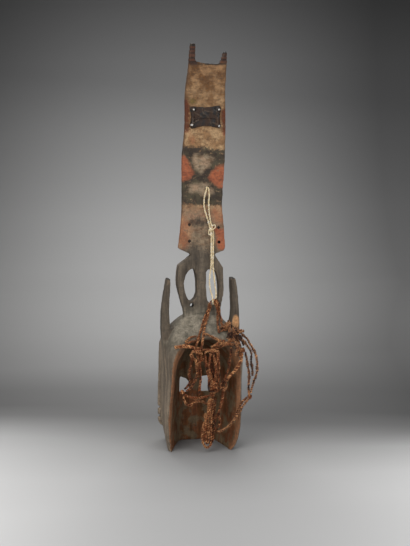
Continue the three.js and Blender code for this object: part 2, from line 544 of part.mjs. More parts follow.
// The fibre cords, each with its diameter and route
const FIBRE_CORDS = {
  cord_apex: { diameter: 6, route: [[31, 7, 298], [26, 3, 309], [20, -6, 323], [13, -15, 337],
    [3, -32, 355], [-8, -54, 369], [-15, -60, 377], [-19, -59, 391], [-25, -61, 403], [-33, -60, 408],
    [-40, -60, 403], [-45, -60, 389], [-47, -60, 371], [-50, -55, 359], [-48, -34, 348],
    [-49, -21, 337]] },
  cord_apex_left: { diameter: 6, route: [[17, 13, 291], [15, 9, 302], [12, 5, 314], [10, 2, 325],
    [6, -9, 336], [0, -24, 346], [-6, -34, 358], [-12, -46, 369], [-16, -51, 381], [-21, -52, 392]] },
  cord_apex_right: { diameter: 6, route: [[-35, -53, 398], [-39, -53, 387], [-40, -53, 373],
    [-39, -46, 360], [-37, -33, 349], [-35, -18, 338], [-35, -9, 328]] },
  cord_cross: { diameter: 6, route: [[16, 9, 285], [5, 10, 284], [-12, 10, 284], [-28, 10, 289],
    [-44, 10, 296], [-60, 11, 298], [-73, 11, 295], [-86, 9, 288]] },
  cord_braid: { diameter: 9, route: [[85, 6, 294], [75, 6, 295], [66, 9, 296], [57, 9, 295], [47, 8, 293],
    [40, 8, 291]] },
  cord_rim: { diameter: 6, route: [[9, -7, 324], [3, -7, 324], [-3, -2, 323], [-10, 3, 321],
    [-18, 5, 316], [-26, 5, 311], [-34, 5, 305]] },
  cord_rim_left: { diameter: 5, route: [[58, -2, 307], [51, -1, 314], [44, -4, 317], [37, -5, 319],
    [30, -5, 320]] },
  cord_rim_left_low: { diameter: 5, route: [[64, 1, 298], [55, 2, 302], [47, 4, 306], [39, 5, 308],
    [34, 6, 309]] },
  cord_coil: { diameter: 6, route: [[19, 17, 277], [27, 21, 283], [37, 20, 285], [44, 16, 281],
    [46, 14, 272], [41, 13, 264], [34, 12, 258], [32, 12, 246], [32, 10, 233]] },
  cord_left_outer: { diameter: 6, route: [[38, 7, 281], [44, 5, 272], [42, 3, 260], [44, 1, 249],
    [47, 0, 232], [49, 0, 218], [47, 0, 202], [51, 1, 189], [60, 0, 179]] },
  cord_left_middle: { diameter: 6, route: [[29, 9, 275], [26, 8, 260], [26, 6, 241], [28, 5, 219],
    [33, 6, 203], [40, 7, 190], [48, 8, 181], [57, 7, 175]] },
  cord_left_low: { diameter: 6, route: [[60, 3, 161], [47, 3, 155], [34, 3, 152], [20, 3, 152],
    [8, 3, 154], [-3, 3, 156]] },
  cord_low: { diameter: 6, route: [[67, 2, 158], [62, 2, 144], [56, 2, 135], [48, 2, 132], [41, 2, 136],
    [34, 2, 141], [23, 2, 143], [11, 2, 140], [3, 0, 135], [-4, 4, 133], [-10, 9, 136], [-16, 15, 143]] },
  cord_strand_1: { diameter: 6, route: [[18, 7, 275], [19, 4, 259], [20, 2, 242], [19, 1, 223],
    [18, 1, 201], [20, 1, 179], [21, 2, 161]] },
  cord_strand_2: { diameter: 6, route: [[7, 8, 275], [5, 6, 254], [1, 4, 231], [-4, 4, 209], [-8, 2, 186],
    [-11, 2, 171]] },
  cord_strand_3: { diameter: 6, route: [[-5, 3, 272], [-9, -2, 249], [-12, -4, 226], [-13, -5, 204],
    [-15, -6, 184], [-15, -5, 171]] },
  cord_strand_4: { diameter: 6, route: [[-15, 6, 273], [-20, 2, 254], [-22, 0, 232], [-22, -1, 210],
    [-20, 0, 188], [-18, 1, 171]] },
  cord_strand_5: { diameter: 6, route: [[-26, 10, 280], [-30, 8, 261], [-31, 7, 238], [-30, 7, 214],
    [-27, 7, 192], [-21, 7, 173]] },
  cord_front_1: { diameter: 6, route: [[-7, 14, 273], [-5, 12, 258], [-4, 11, 243], [-5, 11, 227],
    [-8, 11, 210], [-10, 10, 193], [-12, 8, 177]] },
  cord_front_2: { diameter: 6, route: [[-15, 16, 272], [-18, 14, 257], [-22, 13, 241], [-23, 13, 225],
    [-20, 13, 208], [-17, 14, 193], [-15, 14, 178]] },
  cord_inner_right: { diameter: 6, route: [[-64, 8, 287], [-65, 5, 272], [-63, 2, 253], [-60, 0, 233],
    [-54, 0, 214], [-48, 0, 198], [-40, 0, 184], [-33, 0, 173], [-26, 1, 165]] },
  cord_thick: { diameter: 8, route: [[-96, 6, 269], [-94, 8, 257], [-89, 9, 245], [-81, 9, 232],
    [-71, 9, 220], [-61, 8, 209], [-54, 6, 200]] },
  cord_ring: { diameter: 5, route: [[-41, 6, 195], [-37, 6, 186], [-39, 8, 176], [-46, 8, 171],
    [-51, 8, 178], [-50, 7, 189], [-46, 9, 198]] },
  cord_drop: { diameter: 6, route: [[-45, 2, 179], [-44, 1, 165], [-43, 2, 151], [-40, 2, 138],
    [-36, 1, 124], [-33, 2, 112], [-32, 2, 99], [-35, 1, 88], [-34, 1, 75], [-29, 1, 65]] },
  cord_drop_left: { diameter: 5, route: [[-27, -1, 103], [-24, 0, 92], [-22, 1, 80], [-21, 3, 69],
    [-21, 4, 58]] },
  cord_outer: { diameter: 6, route: [[-94, -57, 330], [-99, -47, 324], [-103, -39, 317], [-109, -33, 311],
    [-116, -29, 304], [-123, -26, 292], [-131, -23, 279], [-138, -20, 263], [-142, -17, 248],
    [-143, -15, 232], [-141, -12, 216], [-137, -10, 200], [-131, -8, 185], [-126, -5, 172],
    [-122, -2, 161]] },
  cord_outer_inner: { diameter: 6, route: [[-83, -22, 329], [-89, -14, 320], [-97, -8, 309],
    [-105, -6, 299], [-113, -10, 288], [-122, -16, 275], [-127, -18, 264]] },
  cord_outer_middle: { diameter: 6, route: [[-108, -5, 268], [-111, -7, 253], [-114, -8, 237],
    [-117, -9, 220], [-119, -10, 204], [-118, -9, 187], [-117, -8, 171], [-117, -6, 158]] },
  cord_outer_short: { diameter: 6, route: [[-129, -25, 257], [-127, -24, 245], [-129, -22, 231],
    [-130, -19, 218], [-130, -17, 205]] },
  cord_outer_low: { diameter: 6, route: [[-113, 3, 142], [-103, 7, 131], [-93, 9, 119], [-83, 10, 105],
    [-75, 10, 92], [-65, 8, 78], [-53, 7, 66], [-38, 5, 59], [-30, 4, 56]] },
  cord_outer_double: { diameter: 6, route: [[-110, -4, 145], [-99, 0, 136], [-89, 3, 122], [-81, 3, 107],
    [-76, 2, 93]] },
  cord_shoulder_1: { diameter: 6, route: [[-59, -29, 342], [-63, -19, 332], [-70, -11, 322],
    [-79, -6, 312], [-87, -3, 303], [-92, 0, 292]] },
  cord_shoulder_2: { diameter: 6, route: [[-70, -50, 350], [-69, -36, 348], [-66, -17, 341],
    [-64, -3, 331], [-62, 4, 318], [-60, 8, 308]] },
  cord_shoulder_3: { diameter: 6, route: [[-70, -46, 342], [-79, -43, 336], [-87, -35, 327],
    [-93, -28, 316], [-100, -20, 303], [-103, -12, 291]] },
  cord_shoulder_4: { diameter: 6, route: [[-76, -14, 338], [-72, -2, 326], [-70, 8, 316], [-73, 16, 305],
    [-78, 20, 295], [-80, 16, 282], [-78, 8, 269]] },
  tail_loop_front: { diameter: 6, route: [[-8, 9, 147], [-2, 12, 138], [-2, 12, 124], [-1, 9, 109],
    [3, 9, 96], [8, 9, 82], [12, 9, 67], [14, 8, 50], [14, 8, 35], [10, 7, 21], [2, 6, 14], [-7, 6, 20],
    [-9, 6, 33], [-10, 6, 50], [-9, 6, 67], [-10, 7, 84], [-11, 7, 100], [-13, 7, 117], [-15, 4, 131],
    [-15, 4, 144]] },
  tail_loop_middle: { diameter: 6, route: [[-7, 17, 141], [-6, 18, 127], [-3, 18, 113], [2, 16, 97],
    [6, 15, 82], [8, 14, 65], [8, 13, 48], [6, 10, 34], [2, 9, 26], [-1, 9, 33], [-1, 10, 49],
    [-1, 11, 66], [-2, 12, 81]] },
  tail_loop_back: { diameter: 6, route: [[-21, 1, 148], [-22, -1, 132], [-20, 1, 116], [-17, 1, 100],
    [-15, -1, 83], [-16, -2, 66], [-17, -1, 49], [-16, -1, 35], [-12, -3, 25], [-5, -7, 24], [-1, -9, 34],
    [0, -10, 51], [-2, -10, 67], [-3, -9, 84], [-6, -7, 101], [-8, -5, 118], [-9, -3, 134],
    [-10, -1, 146]] },
};

// Materials
const WOOD = new THREE.MeshStandardMaterial({ color: '#7d6f60', roughness: 0.85, metalness: 0 });
const HIDE = new THREE.MeshStandardMaterial({ color: '#2b2420', roughness: 0.4, metalness: 0 });
const STRING = new THREE.MeshStandardMaterial({ color: '#d8c8aa', roughness: 0.9, metalness: 0 });
const FIBRE = new THREE.MeshStandardMaterial({ color: '#8a5a3a', roughness: 0.9, metalness: 0 });

const mask = new THREE.Group();
mask.position.set(-CENTRE_X, -CENTRE_Y, 0);

function addPiece(name, geometry, material) {
  const piece = new THREE.Mesh(geometry, material.clone());
  piece.name = name;
  mask.add(piece);
}

addPiece('carved_mask', geometryOf(carvedMask()), WOOD);
addPiece('rawhide_lashing', geometryOf(rawhideLashing()), HIDE);
addPiece('cotton_string', cord(STRING_ROUTE, STRING_DIAMETER), STRING);
addPiece('string_stopper_knot', geometryOf(knot(STRING_STOPPER.place, STRING_STOPPER.radius)), STRING);
for (const [name, { place, radius }] of Object.entries(KNOTS)) {
  addPiece(name, geometryOf(knot(place, radius)), FIBRE);
}
for (const [name, { diameter, route }] of Object.entries(FIBRE_CORDS)) {
  addPiece(name, cord(route, diameter), FIBRE);
}

export default mask;
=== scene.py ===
import itertools
import math

import bpy
import numpy as np
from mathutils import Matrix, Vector


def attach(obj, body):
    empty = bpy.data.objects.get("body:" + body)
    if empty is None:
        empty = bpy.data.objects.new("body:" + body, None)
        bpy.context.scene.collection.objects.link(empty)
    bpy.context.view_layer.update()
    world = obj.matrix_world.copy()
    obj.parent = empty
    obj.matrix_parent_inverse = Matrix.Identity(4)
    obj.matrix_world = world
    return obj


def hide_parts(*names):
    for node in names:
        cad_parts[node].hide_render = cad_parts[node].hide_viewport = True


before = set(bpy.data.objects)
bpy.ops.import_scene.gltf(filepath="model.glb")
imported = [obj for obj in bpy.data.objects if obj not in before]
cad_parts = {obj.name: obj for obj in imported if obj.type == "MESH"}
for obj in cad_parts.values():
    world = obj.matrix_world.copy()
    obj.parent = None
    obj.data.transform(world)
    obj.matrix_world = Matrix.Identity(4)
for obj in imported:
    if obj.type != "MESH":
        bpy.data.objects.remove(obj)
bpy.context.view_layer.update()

# The model's drawing is in millimetres, and the frame's origin lies here in it
DRAWING_ORIGIN = np.array((1.5, -96.2, 0.0))
MM = 0.001


def drawn(points):
    """Places in the model's drawing, as millimetres in the frame."""
    return np.asarray(points, float) - DRAWING_ORIGIN


# Camera, seen from behind the mask and a little from its left

CAMERA_PLACE = (1.0381, 4.9869, 1.2667)
CAMERA_DOWN = 8.807
CAMERA_TURN = 168.062
SENSOR_HEIGHT = 24.0
LENS = 83.125


def make_camera():
    data = bpy.data.cameras.new("camera")
    data.sensor_fit = "VERTICAL"
    data.sensor_height = SENSOR_HEIGHT
    data.lens = LENS
    camera = bpy.data.objects.new("camera", data)
    camera.location = CAMERA_PLACE
    camera.rotation_euler = (math.radians(90 - CAMERA_DOWN), 0.0, math.radians(CAMERA_TURN))
    bpy.context.scene.collection.objects.link(camera)
    bpy.context.scene.camera = camera


make_camera()


# Meshes, all in millimetres until they are built


def build(name, points, *face_sets):
    """A smooth-shaded mesh object from points in millimetres and arrays of faces."""
    mesh = bpy.data.meshes.new(name)
    mesh.vertices.add(len(points))
    mesh.vertices.foreach_set("co", (points * MM).astype(np.float32).ravel())
    corners = np.concatenate([faces.ravel() for faces in face_sets])
    sizes = np.concatenate([np.full(len(faces), faces.shape[1]) for faces in face_sets])
    mesh.loops.add(len(corners))
    mesh.loops.foreach_set("vertex_index", corners.astype(np.int32))
    mesh.polygons.add(len(sizes))
    mesh.polygons.foreach_set("loop_start", (np.cumsum(sizes) - sizes).astype(np.int32))
    mesh.update(calc_edges=True)
    mesh.shade_smooth()
    piece = bpy.data.objects.new(name, mesh)
    bpy.context.scene.collection.objects.link(piece)
    return piece


def set_field(piece, name, values):
    """One number or three numbers for each point, for the material to read."""
    kind = "FLOAT_VECTOR" if values.ndim == 2 else "FLOAT"
    field = piece.data.attributes.new(name, kind, "POINT")
    field.data.foreach_set("vector" if values.ndim == 2 else "value", values.astype(np.float32).ravel())


def unit(vectors):
    return vectors / np.maximum(np.linalg.norm(vectors, axis=-1, keepdims=True), 1e-9)


def measured(line):
    """Distance along a line at each of its points."""
    return np.concatenate([[0.0], np.cumsum(np.linalg.norm(np.diff(line, axis=0), axis=1))])


def sampled(values, along, marks):
    """Places or directions given along a line, read at other marks along it."""
    return np.stack([np.interp(marks, along, values[:, axis]) for axis in range(3)], axis=1)


def evenly(line, step):
    along = measured(line)
    count = max(3, int(round(along[-1] / step)) + 1)
    return sampled(line, along, np.linspace(0.0, along[-1], count))


SPLINE_STEPS = 24


def spline(route, step):
    """Points a step apart on the smooth curve through a route's places."""
    places = np.asarray(route, float)
    places = np.vstack([2 * places[0] - places[1], places, 2 * places[-1] - places[-2]])
    gaps = np.sqrt(np.linalg.norm(np.diff(places, axis=0), axis=1))
    t = np.linspace(0.0, 1.0, SPLINE_STEPS, endpoint=False)[:, None]
    stretches = []
    for i in range(1, len(places) - 2):
        before, start, end, after = places[i - 1:i + 3]
        gap_before, gap, gap_after = gaps[i - 1:i + 2]
        leave = (start - before) / gap_before - (end - before) / (gap_before + gap) + (end - start) / gap
        arrive = (end - start) / gap - (after - start) / (gap + gap_after) + (after - end) / gap_after
        leave, arrive = leave * gap, arrive * gap
        curve = start + leave * t + (3 * (end - start) - 2 * leave - arrive) * t ** 2
        stretches.append(curve + (2 * (start - end) + leave + arrive) * t ** 3)
    stretches.append(places[-2:-1])
    return evenly(np.vstack(stretches), step)


def lengthened(route, at_start, at_end):
    """A route whose two ends run on straight by so many millimetres."""
    places = np.asarray(route, float)
    first = places[0] + unit(places[0] - places[1]) * at_start
    last = places[-1] + unit(places[-1] - places[-2]) * at_end
    return np.vstack([first, places, last])


def carried_frame(line):
    """Two directions across a line that turn as little as they can, at each of its points."""
    ahead = unit(np.gradient(line, axis=0))
    across = np.empty_like(line)
    seed = np.eye(3)[np.argmin(np.abs(ahead[0]))]
    across[0] = unit(seed - ahead[0] * seed.dot(ahead[0]))
    for i in range(1, len(line)):
        kept = across[i - 1] - ahead[i] * across[i - 1].dot(ahead[i])
        across[i] = unit(kept)
    return across, np.cross(ahead, across)


class Heap:
    """Closed tubes gathered for one mesh, with the fields that their material reads."""

    def __init__(self):
        self.points, self.quads, self.fans = [], [], []
        self.fields = {"crest": [], "lay": [], "tint": [], "warm": []}
        self.count = 0

    def add(self, points, quads, fans, crest, lay, tint):
        self.points.append(points)
        self.quads.append(quads + self.count)
        self.fans.append(fans + self.count)
        self.fields["crest"].append(crest)
        self.fields["lay"].append(lay)
        self.fields["tint"].append(np.full(len(points), tint[0]))
        self.fields["warm"].append(np.full(len(points), tint[1]))
        self.count += len(points)

    def build(self, name):
        piece = build(name, np.vstack(self.points), np.vstack(self.quads), np.vstack(self.fans))
        for field, values in self.fields.items():
            set_field(piece, field, np.concatenate(values))
        return piece


def tube(centres, across, upward, radius, sides):
    """Points, side faces and end fans of a closed tube."""
    count = len(centres)
    angle = np.arange(sides) / sides * 2 * math.pi
    radius = np.asarray(radius, float).reshape(count, -1)
    radius = np.broadcast_to(radius, (count, sides))
    ring = np.cos(angle)[None, :, None] * across[:, None, :]
    ring = ring + np.sin(angle)[None, :, None] * upward[:, None, :]
    points = (centres[:, None, :] + ring * radius[:, :, None]).reshape(-1, 3)
    points = np.vstack([points, centres[0], centres[-1]])
    i, j = np.meshgrid(np.arange(count - 1), np.arange(sides), indexing="ij")
    k = (j + 1) % sides
    corners = [i * sides + j, i * sides + k, (i + 1) * sides + k, (i + 1) * sides + j]
    quads = np.stack(corners, axis=-1).reshape(-1, 4)
    j = np.arange(sides)
    k = (j + 1) % sides
    first = np.stack([np.full(sides, count * sides), k, j], axis=1)
    end = (count - 1) * sides
    last = np.stack([np.full(sides, count * sides + 1), end + j, end + k], axis=1)
    return points, quads, np.vstack([first, last])


def wander(rng, along, size, strength):
    """A number that drifts up and down along a line."""
    marks = np.arange(-size, along[-1] + 2 * size, size)
    return np.interp(along, marks, rng.normal(0.0, strength, len(marks)))


# Rope: plies twisted together, with loose fibres standing off them

PLY_SIDES = 7
ROPE_STEP = 1.2
PLY_SHARE = {2: 0.262, 3: 0.24}
PLY_CONTRAST = 0.12
PLY_SHIFT = 3.7
# How plies drift along a rope: millimetres from one change to the next, and strength
LIFT_DRIFT = (4.0, 0.18)
TURN_DRIFT = (9.0, 0.3)
SWELL_DRIFT = (3.2, 0.22)
SWELL_LIMITS = (-0.4, 0.5)
PLY_ROUGHNESS = 0.07
FRAY_LENGTH = 12
FUZZ_STEPS = 5
FUZZ_THICKNESS = 0.32
FUZZ_LENGTHS = (3.0, 9.0)
FUZZ_SIDES = 3
FUZZ_ROOT = 0.42
COIL_STEPS = 16
KINK_LENGTH = 9.0
KINK_FADE = 8.0
# An overhand knot's line: what it stops short of closing, its points and its thickness
KNOT_GAP = 0.12
KNOT_POINTS = 60
KNOT_THICKNESS = 0.9


def add_rope(heap, line, thickness, plies, pitch, tint, rng, fray=0.0):
    """Adds a twisted rope to a heap. The end of a frayed one opens out a little."""
    across, upward = carried_frame(line)
    along = measured(line)
    share = PLY_SHARE[plies]
    lift = (0.5 - share) * thickness * (1 + wander(rng, along, *LIFT_DRIFT))
    opened = 1 + fray * np.clip((along - along[-1] + FRAY_LENGTH) / FRAY_LENGTH, 0, 1) ** 2
    start = rng.uniform(0, 2 * math.pi)
    turn = start + 2 * math.pi * along / pitch + wander(rng, along, *TURN_DRIFT)
    ring_angle = np.arange(PLY_SIDES) / PLY_SIDES * 2 * math.pi
    for ply in range(plies):
        shade = (tint[0] + PLY_CONTRAST * (ply - (plies - 1) / 2), tint[1])
        angle = turn + 2 * math.pi * ply / plies
        radial = np.cos(angle)[:, None] * across + np.sin(angle)[:, None] * upward
        centres = line + radial * (lift * opened)[:, None]
        swell = np.clip(wander(rng, along, *SWELL_DRIFT), *SWELL_LIMITS)
        radius = share * thickness * (1 + swell)[:, None]
        radius = radius * (1 + rng.normal(0, PLY_ROUGHNESS, (len(line), PLY_SIDES)))
        points, quads, fans = tube(centres, across, upward, radius, PLY_SIDES)
        middle = np.vstack([np.repeat(line, PLY_SIDES, axis=0), line[0], line[-1]])
        crest = np.linalg.norm(points - middle, axis=1) / (thickness / 2)
        around = (ring_angle[None, :] - angle[:, None]).ravel()
        travel = np.repeat(along, PLY_SIDES)
        lay = np.stack([np.cos(around), np.sin(around), travel / pitch], axis=1)
        lay = lay + ply * PLY_SHIFT + start
        lay = np.vstack([lay, lay[:1], lay[-1:]])
        heap.add(points, quads, fans, crest, lay, shade)


def add_fuzz(heap, line, thickness, per_mm, reach, tint, rng):
    """Adds loose fibres that stand off the rope's surface."""
    across, upward = carried_frame(line)
    along = measured(line)
    total = along[-1]
    steps = np.linspace(0, 1, FUZZ_STEPS)
    for _ in range(int(total * per_mm)):
        length = rng.uniform(*FUZZ_LENGTHS)
        start = rng.uniform(0, max(total - length, 0.1))
        marks = start + steps * length * rng.choice((1.0, 0.75))
        angle = rng.uniform(0, 2 * math.pi) + steps * rng.normal(0.0, 1.1)
        height = thickness * FUZZ_ROOT + rng.uniform(0.3, 1.0) * reach * steps ** rng.uniform(0.7, 1.6)
        base, side, over = (sampled(part, along, marks) for part in (line, across, upward))
        radial = np.cos(angle)[:, None] * side + np.sin(angle)[:, None] * over
        centres = base + radial * height[:, None]
        radius = FUZZ_THICKNESS * np.linspace(1.0, 0.45, FUZZ_STEPS)
        points, quads, fans = tube(centres, side, over, radius, FUZZ_SIDES)
        crest = np.full(len(points), rng.uniform(0.8, 1.15))
        lay = np.tile(rng.uniform(0, 40, 3), (len(points), 1))
        heap.add(points, quads, fans, crest, lay, tint)


def hitch_line(line, share, reach, turns, width):
    """The line of a small coil wound round a cord, at a share of the cord's length."""
    across, upward = carried_frame(line)
    along = measured(line)
    t = np.linspace(0.0, 1.0, int(turns * COIL_STEPS))
    marks = along[-1] * share + (t - 0.5) * width
    angle = 2 * math.pi * turns * t
    base, side, over = (sampled(part, along, marks) for part in (line, across, upward))
    return base + (np.cos(angle)[:, None] * side + np.sin(angle)[:, None] * over) * reach


def kinked(line, size, rng):
    """A line that wanders a little, as a dry cord does. Its two ends stay where they are."""
    along = measured(line)
    fade = np.clip(np.minimum(along, along[-1] - along) / KINK_FADE, 0, 1)
    drift = np.stack([wander(rng, along, KINK_LENGTH, size) for _ in range(3)], axis=1)
    return line + drift * fade[:, None]


def knot_line(centre, size, tilt, rng):
    """The line of a tight overhand knot round a place, almost twice as wide as its size."""
    t = np.linspace(KNOT_GAP, 2 * math.pi - KNOT_GAP, KNOT_POINTS)
    shape = np.stack([np.sin(t) + 2 * np.sin(2 * t), -np.sin(3 * t) * KNOT_THICKNESS,
                      np.cos(t) - 2 * np.cos(2 * t)], axis=1)
    a, b = tilt, rng.uniform(-0.4, 0.4)
    spin = np.array([[math.cos(a), 0, math.sin(a)], [0, 1, 0], [-math.sin(a), 0, math.cos(a)]])
    lean = np.array([[1, 0, 0], [0, math.cos(b), -math.sin(b)], [0, math.sin(b), math.cos(b)]])
    return evenly(np.asarray(centre) + (shape * size / 3.0) @ (lean @ spin).T, ROPE_STEP)


# The cords, repeated from the model: each with its diameter and its route in the model's drawing

FIBRE_CORDS = {
    "cord_apex": (6, [(31, 7, 298), (26, 3, 309), (20, -6, 323), (13, -15, 337), (3, -32, 355),
        (-8, -54, 369), (-15, -60, 377), (-19, -59, 391), (-25, -61, 403), (-33, -60, 408), (-40, -60, 403),
        (-45, -60, 389), (-47, -60, 371), (-50, -55, 359), (-48, -34, 348), (-49, -21, 337)]),
    "cord_apex_left": (6, [(17, 13, 291), (15, 9, 302), (12, 5, 314), (10, 2, 325), (6, -9, 336),
        (0, -24, 346), (-6, -34, 358), (-12, -46, 369), (-16, -51, 381), (-21, -52, 392)]),
    "cord_apex_right": (6, [(-35, -53, 398), (-39, -53, 387), (-40, -53, 373), (-39, -46, 360),
        (-37, -33, 349), (-35, -18, 338), (-35, -9, 328)]),
    "cord_cross": (6, [(16, 9, 285), (5, 10, 284), (-12, 10, 284), (-28, 10, 289), (-44, 10, 296),
        (-60, 11, 298), (-73, 11, 295), (-86, 9, 288)]),
    "cord_braid": (9, [(85, 6, 294), (75, 6, 295), (66, 9, 296), (57, 9, 295), (47, 8, 293), (40, 8, 291)]),
    "cord_rim": (6, [(9, -7, 324), (3, -7, 324), (-3, -2, 323), (-10, 3, 321), (-18, 5, 316), (-26, 5, 311),
        (-34, 5, 305)]),
    "cord_rim_left": (5, [(58, -2, 307), (51, -1, 314), (44, -4, 317), (37, -5, 319), (30, -5, 320)]),
    "cord_rim_left_low": (5, [(64, 1, 298), (55, 2, 302), (47, 4, 306), (39, 5, 308), (34, 6, 309)]),
    "cord_coil": (6, [(19, 17, 277), (27, 21, 283), (37, 20, 285), (44, 16, 281), (46, 14, 272),
        (41, 13, 264), (34, 12, 258), (32, 12, 246), (32, 10, 233)]),
    "cord_left_outer": (6, [(38, 7, 281), (44, 5, 272), (42, 3, 260), (44, 1, 249), (47, 0, 232),
        (49, 0, 218), (47, 0, 202), (51, 1, 189), (60, 0, 179)]),
    "cord_left_middle": (6, [(29, 9, 275), (26, 8, 260), (26, 6, 241), (28, 5, 219), (33, 6, 203),
        (40, 7, 190), (48, 8, 181), (57, 7, 175)]),
    "cord_left_low": (6, [(60, 3, 161), (47, 3, 155), (34, 3, 152), (20, 3, 152), (8, 3, 154),
        (-3, 3, 156)]),
    "cord_low": (6, [(67, 2, 158), (62, 2, 144), (56, 2, 135), (48, 2, 132), (41, 2, 136), (34, 2, 141),
        (23, 2, 143), (11, 2, 140), (3, 0, 135), (-4, 4, 133), (-10, 9, 136), (-16, 15, 143)]),
    "cord_strand_1": (6, [(18, 7, 275), (19, 4, 259), (20, 2, 242), (19, 1, 223), (18, 1, 201),
        (20, 1, 179), (21, 2, 161)]),
    "cord_strand_2": (6, [(7, 8, 275), (5, 6, 254), (1, 4, 231), (-4, 4, 209), (-8, 2, 186),
        (-11, 2, 171)]),
    "cord_strand_3": (6, [(-5, 3, 272), (-9, -2, 249), (-12, -4, 226), (-13, -5, 204), (-15, -6, 184),
        (-15, -5, 171)]),
    "cord_strand_4": (6, [(-15, 6, 273), (-20, 2, 254), (-22, 0, 232), (-22, -1, 210), (-20, 0, 188),
        (-18, 1, 171)]),
    "cord_strand_5": (6, [(-26, 10, 280), (-30, 8, 261), (-31, 7, 238), (-30, 7, 214), (-27, 7, 192),
        (-21, 7, 173)]),
    "cord_front_1": (6, [(-7, 14, 273), (-5, 12, 258), (-4, 11, 243), (-5, 11, 227), (-8, 11, 210),
        (-10, 10, 193), (-12, 8, 177)]),
    "cord_front_2": (6, [(-15, 16, 272), (-18, 14, 257), (-22, 13, 241), (-23, 13, 225), (-20, 13, 208),
        (-17, 14, 193), (-15, 14, 178)]),
    "cord_inner_right": (6, [(-64, 8, 287), (-65, 5, 272), (-63, 2, 253), (-60, 0, 233), (-54, 0, 214),
        (-48, 0, 198), (-40, 0, 184), (-33, 0, 173), (-26, 1, 165)]),
    "cord_thick": (8, [(-96, 6, 269), (-94, 8, 257), (-89, 9, 245), (-81, 9, 232), (-71, 9, 220),
        (-61, 8, 209), (-54, 6, 200)]),
    "cord_ring": (5, [(-41, 6, 195), (-37, 6, 186), (-39, 8, 176), (-46, 8, 171), (-51, 8, 178),
        (-50, 7, 189), (-46, 9, 198)]),
    "cord_drop": (6, [(-45, 2, 179), (-44, 1, 165), (-43, 2, 151), (-40, 2, 138), (-36, 1, 124),
        (-33, 2, 112), (-32, 2, 99), (-35, 1, 88), (-34, 1, 75), (-29, 1, 65)]),
    "cord_drop_left": (5, [(-27, -1, 103), (-24, 0, 92), (-22, 1, 80), (-21, 3, 69), (-21, 4, 58)]),
    "cord_outer": (6, [(-94, -57, 330), (-99, -47, 324), (-103, -39, 317), (-109, -33, 311),
        (-116, -29, 304), (-123, -26, 292), (-131, -23, 279), (-138, -20, 263), (-142, -17, 248),
        (-143, -15, 232), (-141, -12, 216), (-137, -10, 200), (-131, -8, 185), (-126, -5, 172),
        (-122, -2, 161)]),
    "cord_outer_inner": (6, [(-83, -22, 329), (-89, -14, 320), (-97, -8, 309), (-105, -6, 299),
        (-113, -10, 288), (-122, -16, 275), (-127, -18, 264)]),
    "cord_outer_middle": (6, [(-108, -5, 268), (-111, -7, 253), (-114, -8, 237), (-117, -9, 220),
        (-119, -10, 204), (-118, -9, 187), (-117, -8, 171), (-117, -6, 158)]),
    "cord_outer_short": (6, [(-129, -25, 257), (-127, -24, 245), (-129, -22, 231), (-130, -19, 218),
        (-130, -17, 205)]),
    "cord_outer_low": (6, [(-113, 3, 142), (-103, 7, 131), (-93, 9, 119), (-83, 10, 105), (-75, 10, 92),
        (-65, 8, 78), (-53, 7, 66), (-38, 5, 59), (-30, 4, 56)]),
    "cord_outer_double": (6, [(-110, -4, 145), (-99, 0, 136), (-89, 3, 122), (-81, 3, 107), (-76, 2, 93)]),
    "cord_shoulder_1": (6, [(-59, -29, 342), (-63, -19, 332), (-70, -11, 322), (-79, -6, 312),
        (-87, -3, 303), (-92, 0, 292)]),
    "cord_shoulder_2": (6, [(-70, -50, 350), (-69, -36, 348), (-66, -17, 341), (-64, -3, 331),
        (-62, 4, 318), (-60, 8, 308)]),
    "cord_shoulder_3": (6, [(-70, -46, 342), (-79, -43, 336), (-87, -35, 327), (-93, -28, 316),
        (-100, -20, 303), (-103, -12, 291)]),
    "cord_shoulder_4": (6, [(-76, -14, 338), (-72, -2, 326), (-70, 8, 316), (-73, 16, 305), (-78, 20, 295),
        (-80, 16, 282), (-78, 8, 269)]),
    "tail_loop_front": (6, [(-8, 9, 147), (-2, 12, 138), (-2, 12, 124), (-1, 9, 109), (3, 9, 96),
        (8, 9, 82), (12, 9, 67), (14, 8, 50), (14, 8, 35), (10, 7, 21), (2, 6, 14), (-7, 6, 20),
        (-9, 6, 33), (-10, 6, 50), (-9, 6, 67), (-10, 7, 84), (-11, 7, 100), (-13, 7, 117), (-15, 4, 131),
        (-15, 4, 144)]),
    "tail_loop_middle": (6, [(-7, 17, 141), (-6, 18, 127), (-3, 18, 113), (2, 16, 97), (6, 15, 82),
        (8, 14, 65), (8, 13, 48), (6, 10, 34), (2, 9, 26), (-1, 9, 33), (-1, 10, 49), (-1, 11, 66),
        (-2, 12, 81)]),
    "tail_loop_back": (6, [(-21, 1, 148), (-22, -1, 132), (-20, 1, 116), (-17, 1, 100), (-15, -1, 83),
        (-16, -2, 66), (-17, -1, 49), (-16, -1, 35), (-12, -3, 25), (-5, -7, 24), (-1, -9, 34),
        (0, -10, 51), (-2, -10, 67), (-3, -9, 84), (-6, -7, 101), (-8, -5, 118), (-9, -3, 134),
        (-10, -1, 146)]),
}

# How far each cord's drawn ends run on into the knots and holes that hold them
END_REACH = 3.0
BRAID_REACH = 5.0

